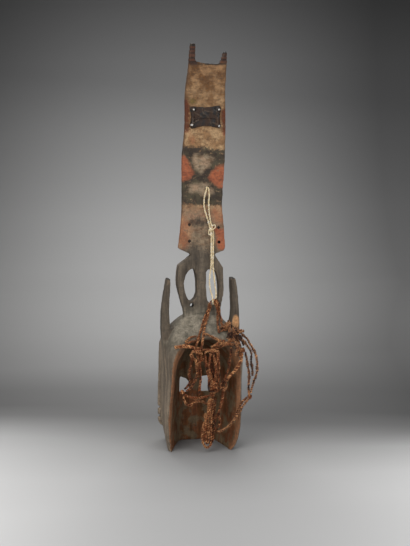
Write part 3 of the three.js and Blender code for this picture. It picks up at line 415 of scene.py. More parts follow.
# Each cord's shade as two numbers: lighter above nothing, and warmer above nothing or greyer below it
TINTS = {
    "cord_apex": (0.05, 0.2), "cord_apex_left": (0.1, 0.0), "cord_apex_right": (0.0, 0.1),
    "cord_cross": (0.1, 0.2), "cord_braid": (0.2, 0.2), "cord_rim": (0.2, -0.2), "cord_rim_left": (0.2, -0.1),
    "cord_rim_left_low": (0.05, 0.1), "cord_coil": (0.2, 0.2), "cord_left_outer": (-0.05, 0.3),
    "cord_left_middle": (0.0, 0.3), "cord_left_low": (0.05, 0.6), "cord_low": (0.15, 0.1),
    "cord_strand_1": (0.0, 0.5), "cord_strand_2": (-0.05, 0.6), "cord_strand_3": (-0.25, 0.7),
    "cord_strand_4": (-0.1, 0.6), "cord_strand_5": (0.0, 0.4), "cord_front_1": (0.1, 0.5),
    "cord_front_2": (0.05, 0.4), "cord_inner_right": (-0.05, 0.3), "cord_thick": (0.1, 0.0),
    "cord_ring": (0.05, 0.1), "cord_drop": (0.0, 0.3), "cord_drop_left": (-0.1, 0.3),
    "cord_outer": (0.05, -0.4), "cord_outer_inner": (0.0, -0.5), "cord_outer_middle": (0.0, -0.2),
    "cord_outer_short": (-0.1, -0.4), "cord_outer_low": (0.15, -0.3), "cord_outer_double": (0.05, -0.2),
    "cord_shoulder_1": (0.0, -0.2), "cord_shoulder_2": (0.0, -0.3), "cord_shoulder_3": (-0.2, -0.6),
    "cord_shoulder_4": (0.05, -0.3), "tail_loop_front": (0.2, 0.5), "tail_loop_middle": (0.1, 0.3),
    "tail_loop_back": (-0.05, 0.3),
}

# Knots of the harness: place, size and the cord that each is on
KNOTS = {
    "knot_cluster": ((27, 9, 286), 8.5, "cord_apex"),
    "knot_left": ((69, 4, 170), 7.5, "cord_left_outer"),
    "knot_outer": ((-119, -1, 148), 7.5, "cord_outer"),
    "knot_tail": ((-14, 3, 159), 9.0, "cord_strand_2"),
    "knot_shoulder": ((-99, 1, 278), 8.0, "cord_thick"),
}
KNOT_ROPE = 5.0
KNOT_SHADE = (0.05, 0.2)
KNOT_PITCH = 10.0
KNOT_FUZZ = (1.0, 2.2)
KNOT_TURNS = (0.0, 1.3)

# Small coils wound round some cords, each as the share of the cord's length where it sits
HITCHES = {
    "cord_apex": (0.08, 0.52), "cord_outer": (0.17, 0.42, 0.66), "cord_outer_middle": (0.3, 0.62),
    "cord_outer_inner": (0.5,), "cord_outer_low": (0.3, 0.72), "cord_outer_short": (0.5,),
    "cord_inner_right": (0.32, 0.7), "cord_strand_1": (0.42,), "cord_strand_2": (0.3, 0.75),
    "cord_strand_4": (0.5,), "cord_strand_5": (0.22, 0.6), "cord_left_middle": (0.35, 0.66),
    "cord_left_outer": (0.5,), "cord_front_1": (0.62,), "cord_front_2": (0.36,), "cord_drop": (0.36, 0.62),
    "cord_low": (0.5,), "cord_left_low": (0.45,), "tail_loop_front": (0.03, 0.3, 0.7, 0.97),
    "tail_loop_middle": (0.04, 0.55), "tail_loop_back": (0.03, 0.97), "cord_shoulder_4": (0.5,),
    "cord_shoulder_1": (0.5,), "cord_cross": (0.5,), "cord_coil": (0.5,),
}
HITCH_ROPE = 2.6
HITCH_SHARE = 0.68
HITCH_WIDTH = 8.0
HITCH_PITCH = 6.0
HITCH_STEP = 0.9
FIBRE_PITCH = 2.2
FIBRE_FUZZ = 1.7
FUZZ_REACH = 2.6
DRIFT = 0.45

STRING_DRAWN = 5.0
STRING_PITCH = 8.0
STRING_ROUTE = [
    (-14.2, -89, 713), (-14.2, -74, 714), (-13.4, -67, 712.5), (-11, -66.4, 704), (-8, -67.4, 693),
    (-6, -68, 678), (-6.6, -68, 662), (-9.5, -68, 649), (-13.5, -68, 636), (-17.5, -67.6, 623),
    (-20.5, -67, 611), (-24, -66.4, 597), (-26, -65.4, 577), (-25.4, -64.5, 557), (-25, -62, 537),
    (-24, -60, 503), (-20, -60, 470), (-20, -60, 449), (-23, -60, 432), (-26.5, -57, 418), (-27, -54, 408),
    (-27.6, -55.5, 401), (-30.5, -61, 396.8), (-34, -65.5, 400), (-36.5, -65, 408), (-38, -62, 417),
    (-37.4, -60, 431), (-34.5, -60, 449), (-32, -60, 475), (-29, -60, 503), (-30, -62, 537),
    (-30.6, -64.5, 557), (-31.6, -65.4, 577), (-30, -66.4, 597), (-26.6, -67, 611), (-23.6, -68, 623),
    (-21, -68, 640), (-19.4, -68, 658), (-19, -68, 678), (-20.3, -67.4, 691), (-19.4, -66.4, 704),
    (-18.4, -67, 712.5), (-17.8, -74, 714), (-17.8, -89, 713),
]
STRING_STOPPER = ((-16, -95.2, 713), 5.0)
STRING_KNOTS = [((-23, -65, 600), 5.4), ((-24.5, -64, 587), 5.0)]
STRING_CURLS = [
    [(-21, -63, 600), (-26, -62.4, 600), (-31, -61.8, 602), (-35.6, -61.6, 606), (-35.4, -61.6, 611.4),
     (-30.6, -61.6, 612.6), (-27.4, -61.8, 609), (-28.4, -62, 605.6)],
    [(-22, -63, 598), (-25.4, -61.8, 592), (-25, -61, 585), (-28, -60.6, 580), (-32, -60.6, 578)],
    [(-20, -63, 600), (-17.6, -62, 594), (-18.4, -61.4, 586)],
]
STRING_SHADE = (0.1, 0.0)
STRING_SEED = 41
STRING_STEP = 1.1
STOPPER_ROPE = 2.8
STOPPER_PITCH = 6.0
CURL_ROPE = 3.4
CURL_PITCH = 7.0


# Tangles of short lengths that hang round some cords, in boxes of the model's drawing:
# cord, middle of the box, half of its size, number of lengths, and places along each length
TANGLES = {
    "tangle_apex": ("cord_apex", (-35, -59, 402), (7, 3, 6), 4, 5),
    "tangle_apex_right": ("cord_apex", (-46, -58, 381), (3, 2, 18), 2, 4),
    "tangle_shoulder_top": ("cord_shoulder_2", (-66, -29, 346), (11, 7, 5), 3, 5),
    "tangle_shoulder_left": ("cord_shoulder_1", (-57, -20, 337), (9, 7, 6), 3, 5),
    "tangle_shoulder_middle": ("cord_shoulder_4", (-73, -3, 326), (13, 5, 8), 5, 5),
    "tangle_shoulder_low": ("cord_shoulder_1", (-85, -1, 309), (12, 5, 10), 4, 5),
    "tangle_shoulder_right": ("cord_outer", (-100, -37, 322), (10, 5, 8), 3, 5),
    "tangle_shoulder_hanging": ("cord_shoulder_4", (-77, 14, 294), (6, 4, 16), 3, 5),
    "tangle_thick": ("cord_thick", (-92, 8, 274), (7, 4, 14), 3, 5),
    "tangle_outer": ("cord_outer", (-119, -4, 156), (4, 3, 9), 3, 4),
    "tangle_dome": ("cord_shoulder_1", (-49, -20, 335), (8, 5, 11), 4, 5),
    "tangle_crown": ("cord_cross", (-22, 10, 298), (14, 4, 6), 3, 5),
    "tangle_rim_right": ("cord_cross", (-50, 9, 303), (17, 4, 10), 4, 5),
    "tangle_shoulder_front": ("cord_shoulder_2", (-64, 8, 322), (12, 4, 12), 4, 5),
    "tangle_strands": ("cord_strand_3", (-11, 1, 222), (10, 5, 54), 4, 7),
    "tangle_strands_right": ("cord_strand_5", (-27, 9, 225), (6, 3, 52), 3, 7),
    "tangle_front": ("cord_front_2", (-17, 13, 186), (10, 4, 18), 4, 5),
    "tangle_first_strand": ("cord_strand_1", (15, 4, 262), (8, 3, 13), 2, 4),
    "tangle_cross": ("cord_cross", (-12, 13, 281), (20, 3, 6), 4, 4),
    "tangle_coil": ("cord_coil", (31, 19, 283), (9, 3, 6), 2, 4),
    "tangle_tail_top": ("tail_loop_front", (-7, 11, 127), (8, 4, 24), 3, 5),
    "tangle_tail": ("tail_loop_front", (1, 10, 72), (13, 5, 40), 3, 6),
    "tangle_tail_end": ("tail_loop_back", (1, 5, 32), (12, 5, 15), 2, 4),
}
TANGLE_ROPE = 4.2
TANGLE_PITCH = 9.0
TANGLE_FRAY = 0.8
TANGLE_FUZZ = 0.9
HANGING_RATIO = 1.3


def cord_seed(name):
    return sum(ord(letter) * (place + 1) for place, letter in enumerate(name))


def make_fibre_cord(name):
    diameter, route = FIBRE_CORDS[name]
    rng = np.random.default_rng(cord_seed(name))
    reach = BRAID_REACH if name == "cord_braid" else END_REACH
    line = kinked(spline(lengthened(drawn(route), reach, reach), ROPE_STEP), DRIFT, rng)
    heap = Heap()
    tint = TINTS[name]
    plies = 3 if diameter > 6 else 2
    add_rope(heap, line, diameter, plies, FIBRE_PITCH * diameter, tint, rng)
    for share in HITCHES.get(name, ()):
        coil = hitch_line(line, share, diameter * HITCH_SHARE, rng.uniform(1.8, 2.6), HITCH_WIDTH)
        add_rope(heap, evenly(coil, HITCH_STEP), HITCH_ROPE, 2, HITCH_PITCH, tint, rng)
    add_fuzz(heap, line, diameter, FIBRE_FUZZ, FUZZ_REACH, tint, rng)
    piece = heap.build(name + "_rope")
    return piece, line


def make_knot(name):
    centre, size, _ = KNOTS[name]
    rng = np.random.default_rng(cord_seed(name))
    heap = Heap()
    for turn in KNOT_TURNS:
        line = knot_line(drawn(centre), size - KNOT_ROPE / 2 - turn, rng.uniform(0, 2) + turn, rng)
        add_rope(heap, line, KNOT_ROPE, 2, KNOT_PITCH, KNOT_SHADE, rng)
        add_fuzz(heap, line, KNOT_ROPE, *KNOT_FUZZ, KNOT_SHADE, rng)
    return heap.build(name + "_rope")


def make_tangle(name):
    """Short lengths of thin cord, each wandering through its box from top to bottom or from side to side."""
    cord, middle, half, lengths, places = TANGLES[name]
    rng = np.random.default_rng(cord_seed(name))
    heap = Heap()
    hanging = half[2] > HANGING_RATIO * half[0]
    order = 2 if hanging else 0
    for _ in range(lengths):
        spots = rng.uniform(-1, 1, (places, 3))
        spots[:, order] = np.sort(spots[:, order] + rng.normal(0, 0.25, places))
        line = spline(drawn(np.clip(spots, -1, 1) * half + np.asarray(middle)), ROPE_STEP)
        tint = (TINTS[cord][0] + rng.uniform(-0.2, 0.2), TINTS[cord][1] + rng.uniform(-0.2, 0.2))
        thickness = TANGLE_ROPE * rng.uniform(0.8, 1.15)
        add_rope(heap, line, thickness, 2, TANGLE_PITCH, tint, rng, fray=TANGLE_FRAY)
        add_fuzz(heap, line, TANGLE_ROPE, TANGLE_FUZZ, FUZZ_REACH, tint, rng)
    return heap.build(name)


def make_string():
    rng = np.random.default_rng(STRING_SEED)
    line = spline(drawn(STRING_ROUTE), STRING_STEP)
    heap = Heap()
    add_rope(heap, line, STRING_DRAWN, 2, STRING_PITCH, STRING_SHADE, rng)
    piece = heap.build("cotton_string_rope")
    stopper = Heap()
    centre, size = STRING_STOPPER
    line_round = knot_line(drawn(centre), size - 1.2, 0.4, rng)
    add_rope(stopper, line_round, STOPPER_ROPE, 2, STOPPER_PITCH, STRING_SHADE, rng)
    knots = Heap()
    for centre, size in STRING_KNOTS:
        line_round = knot_line(drawn(centre), size - 1.0, 0.9, rng)
        add_rope(knots, line_round, CURL_ROPE, 2, CURL_PITCH, STRING_SHADE, rng)
    for route in STRING_CURLS:
        add_rope(knots, spline(drawn(route), 1.0), CURL_ROPE, 2, CURL_PITCH, STRING_SHADE, rng)
    return piece, line, stopper.build("string_stopper_rope"), knots.build("string_knots_rope")


# Materials


def colour(code):
    """A #rrggbb colour as the four linear numbers that shaders use."""
    parts = [int(code[i:i + 2], 16) / 255 for i in (1, 3, 5)]
    return tuple(p / 12.92 if p <= 0.04045 else ((p + 0.055) / 1.055) ** 2.4 for p in parts) + (1.0,)


class Paint:
    """A material's node tree, with short calls for the nodes used here."""

    def __init__(self, name):
        self.material = bpy.data.materials.new(name)
        self.material.use_nodes = True
        self.tree = self.material.node_tree
        self.shader = self.tree.nodes["Principled BSDF"]

    def node(self, kind, inputs=None, **settings):
        node = self.tree.nodes.new("ShaderNode" + kind)
        for name, value in settings.items():
            setattr(node, name, value)
        for name, value in (inputs or {}).items():
            self.feed(node.inputs[name], value)
        return node

    def feed(self, socket, value):
        if isinstance(value, bpy.types.NodeSocket):
            self.tree.links.new(value, socket)
        else:
            socket.default_value = value

    def place(self):
        return self.node("TexCoord").outputs["Object"]

    def field(self, name, vector=False):
        return self.node("Attribute", attribute_name=name).outputs["Vector" if vector else "Fac"]

    def stretched(self, place, scales):
        return self.node("Mapping", {"Vector": place, "Scale": scales}).outputs["Vector"]

    def noise(self, place, scale, detail=4.0, rough=0.55):
        inputs = {"Vector": place, "Scale": scale, "Detail": detail, "Roughness": rough}
        return self.node("TexNoise", inputs).outputs["Fac"]

    def maths(self, operation, *values):
        node = self.node("Math", operation=operation)
        for socket, value in zip(node.inputs, values):
            self.feed(socket, value)
        return node.outputs[0]

    def plus(self, first, second):
        return self.maths("ADD", first, second)

    def times(self, first, second):
        return self.maths("MULTIPLY", first, second)

    def scaled(self, value, factor, more):
        """A value times a factor, plus something more."""
        return self.maths("MULTIPLY_ADD", value, factor, more)

    def less(self, value, other):
        return self.maths("SUBTRACT", value, other)

    def span(self, value, low, high, start=0.0, end=1.0):
        inputs = {"Value": value, "From Min": low, "From Max": high, "To Min": start, "To Max": end}
        return self.node("MapRange", inputs, clamp=True).outputs["Result"]

    def mix(self, share, first, second, blend="MIX"):
        node = self.node("Mix", data_type="RGBA", blend_type=blend)
        self.feed(node.inputs[0], share)
        self.feed(node.inputs[6], first)
        self.feed(node.inputs[7], second)
        return node.outputs[2]

    def finish(self, shade, rough, bump=None, strength=0.5, depth=0.0004):
        self.feed(self.shader.inputs["Base Color"], shade)
        self.feed(self.shader.inputs["Roughness"], rough)
        if bump is not None:
            inputs = {"Height": bump, "Strength": strength, "Distance": depth}
            self.feed(self.shader.inputs["Normal"], self.node("Bump", inputs).outputs["Normal"])
        return self.material


# The dark fibre and cotton colours also serve as painted shade between the plies, and the light ones as
# painted highlights on the crests
FIBRE_DARK_AND_VALLEY_SHADE = colour("#1d0a02")
FIBRE_MID = colour("#834520")
FIBRE_CREST_HIGHLIGHT = colour("#dca06b")
FIBRE_RED = colour("#a34f20")
FIBRE_GREY = colour("#8d7258")
COTTON_DARK_AND_VALLEY_SHADE = colour("#a88d5e")
COTTON_MID = colour("#f0dcb0")
COTTON_CREST_HIGHLIGHT = colour("#fffaf0")


def rope_material(name, dark, middle, light, warm, cold, sheen, depth):
    """Twisted fibre: dark painted shade between the plies, and light specks of painted highlight on their
    crests.
    """
    paint = Paint(name)
    crest, lay, tint = paint.field("crest"), paint.field("lay", True), paint.field("tint")
    warmth = paint.field("warm")
    streaks = paint.noise(paint.stretched(lay, (3.0, 3.0, 1.2)), 2.0, 3.0)
    patches = paint.noise(paint.place(), 80.0, 3.0, 0.6)
    specks = paint.noise(paint.place(), 130.0, 2.0, 0.6)
    height = paint.scaled(paint.less(streaks, 0.5), 0.5, crest)
    body = paint.mix(paint.span(warmth, 0.0, 1.0), middle, warm)
    body = paint.mix(paint.span(warmth, -1.0, 0.0, 1.0, 0.0), body, cold)
    # Painted shade: dark where the surface lies low between the plies
    shade = paint.mix(paint.span(height, 0.55, 0.92, 1.0 - depth, 1.0), dark, body)
    # Painted highlight: light specks where the surface stands high on the plies' crests
    crest_highlight = paint.plus(paint.scaled(specks, 1.5, height), tint)
    shade = paint.mix(paint.span(crest_highlight, 1.7, 2.1), shade, light)
    gloom = paint.plus(paint.scaled(specks, 0.8, patches), tint)
    shade = paint.mix(paint.span(gloom, 0.7, 0.9, depth, 0.0), shade, dark)
    bump = paint.noise(paint.stretched(lay, (5.0, 5.0, 1.0)), 3.0, 2.0)
    paint.shader.inputs["Sheen Weight"].default_value = sheen
    return paint.finish(shade, paint.span(streaks, 0.3, 0.7, 0.8, 1.0), bump, 0.6, 0.0004)


FIBRE = rope_material("fibre", FIBRE_DARK_AND_VALLEY_SHADE, FIBRE_MID, FIBRE_CREST_HIGHLIGHT, FIBRE_RED, FIBRE_GREY, 0.03, 0.9)
COTTON = rope_material("cotton", COTTON_DARK_AND_VALLEY_SHADE, COTTON_MID, COTTON_CREST_HIGHLIGHT, COTTON_MID, COTTON_MID, 0.1, 0.3)


def dress(piece, material, slot, *nodes):
    """Gives a piece its material and its body, and hides the nodes that it stands for. Its slot is not used.
    """
    piece.data.materials.append(material)
    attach(piece, "root")
    if nodes:
        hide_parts(*nodes)


def lay_out_cords():
    knots = {}
    for name in KNOTS:
        knots[name] = make_knot(name)
        dress(knots[name], FIBRE, "fibre", name)
    for name, (diameter, _) in FIBRE_CORDS.items():
        piece, line = make_fibre_cord(name)
        dress(piece, FIBRE, "fibre", name)
        carried = [knots[knot] for knot, (_, _, cord) in KNOTS.items() if cord == name]
        for tangle, (cord, *_) in TANGLES.items():
            if cord == name:
                carried.append(make_tangle(tangle))
                dress(carried[-1], FIBRE, "fibre")
    piece, line, stopper, string_knots = make_string()
    dress(piece, COTTON, "cotton", "cotton_string")
    dress(stopper, COTTON, "cotton", "string_stopper_knot")
    dress(string_knots, COTTON, "cotton")


lay_out_cords()


# Carved wood: the node's own surface, made fine, smoothed and cut with tool marks


def refined(node, cell):
    """Points, four-sided faces and edges of a node's surface, remade from small cells of equal size."""
    copy = bpy.data.objects.new("copy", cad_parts[node].data.copy())
    bpy.context.scene.collection.objects.link(copy)
    remesh = copy.modifiers.new("remesh", "REMESH")
    remesh.mode = "VOXEL"
    remesh.voxel_size = cell * MM
    remesh.adaptivity = 0.0
    made = copy.evaluated_get(bpy.context.evaluated_depsgraph_get()).to_mesh()
    points = np.empty(len(made.vertices) * 3)
    made.vertices.foreach_get("co", points)
    corners = np.empty(len(made.loops), np.int32)
    made.loops.foreach_get("vertex_index", corners)
    edges = np.empty(len(made.edges) * 2, np.int32)
    made.edges.foreach_get("vertices", edges)
    bpy.data.objects.remove(copy)
    return points.reshape(-1, 3) / MM, corners.reshape(-1, 4), edges.reshape(-1, 2)


def neighbour_mean(values, edges):
    count = np.bincount(edges.ravel(), minlength=len(values))
    a, b = edges[:, 0], edges[:, 1]
    flat = values.reshape(len(values), -1)
    total = np.stack([np.bincount(a, flat[b, k], len(flat)) + np.bincount(b, flat[a, k], len(flat))
                      for k in range(flat.shape[1])], axis=1)
    return (total / count[:, None]).reshape(values.shape)


def eased(points, edges, rounds):
    """Smooths a surface and hardly shrinks it."""
    for _ in range(rounds):
        for share in (0.5, -0.53):
            points = points + (neighbour_mean(points, edges) - points) * share
    return points


def surface_normals(points, quads):
    a, b, c, d = (points[quads[:, k]] for k in range(4))
    flat = np.cross(c - a, d - b)
    total = np.stack([sum(np.bincount(quads[:, k], flat[:, axis], len(points)) for k in range(4))
                      for axis in range(3)], axis=1)
    return unit(total)


def scrambled(cells, seed):
    """A fixed number from 0 to 1 for each cell of space."""
    x, y, z = (cells[..., k].astype(np.int64) for k in range(3))
    mixed = (x * 73856093 ^ y * 19349663 ^ z * 83492791 ^ seed * 2654435761) & 0xFFFFFFFF
    mixed = ((mixed ^ (mixed >> 15)) * 2246822519) & 0xFFFFFFFF
    mixed = ((mixed ^ (mixed >> 13)) * 3266489917) & 0xFFFFFFFF
    return ((mixed ^ (mixed >> 16)) & 0xFFFFFF) / 0xFFFFFF


def cloudy(points, size, seed):
    """Smooth noise from -1 to 1, whose lumps are about so many millimetres across."""
    cells = points / size
    low = np.floor(cells)
    part = cells - low
    part = part * part * (3 - 2 * part)
    total = np.zeros(len(points))
    for corner in itertools.product((0, 1), repeat=3):
        weight = np.prod(np.where(np.array(corner) == 1, part, 1 - part), axis=1)
        total += weight * scrambled(low + corner, seed)
    return total * 2 - 1


def scooped(points, size, seed):
    """Height over tool cuts that overlap: 0 in the middle of a cut and up to 1 at the ridges between."""
    cells = points / size
    low = np.floor(cells)
    nearest = np.full(len(points), 9.0)
    for step in itertools.product((-1, 0, 1), repeat=3):
        cell = low + step
        spot = cell + np.stack([scrambled(cell, seed + k) for k in range(3)], axis=1)
        nearest = np.minimum(nearest, np.sum((cells - spot) ** 2, axis=1))
    return np.clip(nearest, 0, 1)


def stretch_distance(x, z, start, end):
    """Distance in millimetres from the straight stretch between two places."""
    (ax, az), (bx, bz) = start, end
    dx, dz = bx - ax, bz - az
    t = np.clip(((x - ax) * dx + (z - az) * dz) / (dx * dx + dz * dz), 0, 1)
    return np.hypot(x - ax - t * dx, z - az - t * dz)


def polygon_distance(x, z, corners):
    """Distance in millimetres from an outline, negative inside it."""
    corners = np.asarray(corners, float)
    inside = np.zeros(len(x), bool)
    nearest = np.full(len(x), 1e9)
    for start, end in zip(corners, np.roll(corners, -1, axis=0)):
        nearest = np.minimum(nearest, stretch_distance(x, z, start, end))
        (ax, az), (bx, bz) = start, end
        if az != bz:
            crosses = (az > z) != (bz > z)
            inside ^= crosses & (x < ax + (z - az) * (bx - ax) / (bz - az))
    return np.where(inside, -nearest, nearest)


def soft_step(value, low, high):
    t = np.clip((value - low) / (high - low), 0, 1)
    return t * t * (3 - 2 * t)


# The hollow, as the model draws it: its half widths and height at each depth
HOLLOW_Y = (-150, -143, -130, -90, -45, -12, 0, 14)
HOLLOW_LEFT = (40, 48, 54, 68, 81, 90, 101, 110)
HOLLOW_RIGHT = (40, 47, 51, 62, 76, 85, 96, 106)
HOLLOW_TOP = (254, 266, 276, 292, 303, 308, 322, 334)
ARCH_SPRING = 0.56
ARCH_SIDE_POWER = 0.85
ARCH_RISE_POWER = 0.9
HOLLOW_DEPTH = 150
# How much wider the foot of the hollow's mouth is on each side: heights, and shares of the half width
FLARE_LEFT = ((0, 60, 95, 150, 200), (0.07, 0.08, 0.07, 0.02, -0.03))
FLARE_RIGHT = ((0, 12, 30, 60, 100), (-0.26, -0.15, -0.09, -0.03, 0.0))


def hollow_distance(x, y, z):
    """About how far a place is outside the hollow, in millimetres."""
    left, right, top = (np.interp(y, HOLLOW_Y, values) for values in (HOLLOW_LEFT, HOLLOW_RIGHT, HOLLOW_TOP))
    nearness = 1 + np.minimum(y, 0) / HOLLOW_DEPTH
    flare_left = np.interp(z, *FLARE_LEFT)
    flare_right = np.interp(z, *FLARE_RIGHT)
    half = np.where(x > 0, left * (1 + flare_left * nearness), right * (1 + flare_right * nearness))
    spring = top * ARCH_SPRING
    rise = np.clip((z - spring) / (top - spring), 0, None)
    reach = (np.abs(x) / half) ** (2 / ARCH_SIDE_POWER) + rise ** (2 / ARCH_RISE_POWER)
    side = (np.power(reach, 0.45) - 1) * half
    return np.maximum(side, -(y + HOLLOW_DEPTH))


# Painted areas on the plank, as outlines in x and z of the model's drawing
DARK_BAND = [(70, 827), (29, 826), (4, 822), (-15, 823), (-29, 816), (-48, 815), (-80, 814), (-80, 668),
             (-56, 666), (-40, 664), (-4, 665), (13, 668), (32, 671), (70, 670)]
RED_AREAS = [
    [(70, 803), (46, 800), (39, 789), (30, 772), (19, 751), (30, 740), (43, 733), (70, 728)],
    [(-80, 779), (-55, 773), (-40, 767), (-27, 757), (-19, 742), (-26, 730), (-37, 720), (-48, 712),
     (-80, 710)],
    [(70, 953), (40, 951), (33, 939), (32, 918), (33, 894), (30, 878), (34, 868), (48, 862), (70, 866)],
    [(-53, 922), (-80, 927), (-80, 850), (-60, 856), (-53, 885)],
    [(-34, 606), (-48, 600), (-80, 604), (-80, 540), (-48, 544), (-40, 562), (-39, 584)],
]
ORANGE_AREAS = [
    [(80, 640), (46, 639), (40, 630), (32, 616), (27, 600), (30, 583), (36, 567), (39, 551), (80, 545)],
    [(-27, 662), (-40, 662), (-80, 657), (-80, 612), (-43, 617), (-33, 625), (-29, 644)],
    [(34, 873), (30, 862), (20, 838), (24, 836), (34, 856), (42, 872)],
]
CREAM_AREAS = [
    [(24, 805), (4, 803), (-15, 800), (-36, 792), (-27, 780), (-18, 766), (-9, 761), (-3, 757), (1, 752),
     (7, 759), (17, 765), (24, 776), (25, 792)],
    [(34, 721), (24, 724), (7, 725), (-4, 727), (-18, 723), (-26, 715), (-33, 707), (-34, 696), (-26, 691),
     (-9, 688), (4, 701), (15, 702), (26, 699), (34, 706)],
]
SMUDGES = [(7, 624, 7), (-4, 618, 6), (-15, 622, 7), (24, 623, 5), (13, 620, 5), (-33, 690, 4)]
STAIN = (24, 945)
STAIN_RADIUS = 7
BARE_PATCH = (-95, 343)
BARE_PATCH_HALF = (10, 20)
BRINK_Z = 1046
BRINK_X = -9
WAIST_X = (-37, 4, 46)
WAIST_Z = (546, 553, 559)
PRONG_RINGS = {1: (1096, 1085, 1075, 1062, 1051), -1: (1078, 1077, 1066, 1056, 1045)}

WOOD_CELL = 2.75
MARGIN_ROUNDS = 6
# The four holes of the lashing, and last the hole of the string
HOLES_IN_PLANK = [((33, 614), 3.8), ((33, 569), 3.8), ((-47, 604), 3.8), ((-49, 564), 3.8),
                  ((-16, 713), 4.2)]
LASHING_HOLES = 4
# Depths in the drawing between which the holes run through the plank
PLANK_FRONT_Y = -90
PLANK_BACK_Y = -70
HOLE_SLANT = (4.4, 4.0)
HOLE_BLEND = 8.0
# Tool cuts: stretch along the height, width in millimetres, seed and depth
GOUGE = (0.2, 15.0, 11, 1.5)
ADZE = (0.55, 24.0, 23, 1.0)
FINE_CUTS = (0.5, 30.0, 37, 0.5)
RING_DEPTH = 0.9
RING_WIDTH = 2.2
PRONG_FOOT = 1040
MARGIN_TOP = 1044
MASK_HEIGHT = 1100
# Limits of the wood's regions: the hollow's walls, the face box and the horns
HOLLOW_SKIN = 4
HOLLOW_CROWN = 336
HOLLOW_MOUTH_Y = 2
BOX_TOP = 350
HORN_BACK_Y = -64
HORN_INNER_X = 76
HORN_FOOT_Z = 300


def nearest_of(x, z, areas):
    return np.min([polygon_distance(x, z, area) for area in areas], axis=0)


def round_out_holes(points):
    """Puts the points in the plank's round holes back on their true circles."""
    x, y, z = (points + DRAWING_ORIGIN).T
    for (hole_x, hole_z), radius in HOLES_IN_PLANK:
        away = np.hypot(x - hole_x, z - hole_z)
        near = (away < radius + 1.2) & (y > PLANK_FRONT_Y) & (y < PLANK_BACK_Y)
        scale = np.where(near, radius / np.maximum(away, 0.5), 1.0)
        points[:, 0] += (x - hole_x) * (scale - 1)
        points[:, 2] += (z - hole_z) * (scale - 1)
    return points


def slant_holes(points):
    """Slants the lashing holes as they go through the plank."""
    x, y, z = (points + DRAWING_ORIGIN).T
    through = np.clip((-71 - y) / 18, 0, 1) * (y > -95)
    for (hole_x, hole_z), radius in HOLES_IN_PLANK[:LASHING_HOLES]:
        away = np.hypot(x - hole_x, z - hole_z)
        share = through * np.clip(1 - (away - radius) / HOLE_BLEND, 0, 1)
        points[:, 0] += share * HOLE_SLANT[0]
        points[:, 2] += share * HOLE_SLANT[1]
    return points


def tool_cuts(points, stretch, size, seed, depth):
    return scooped(points * (1, 1, stretch), size, seed) * depth


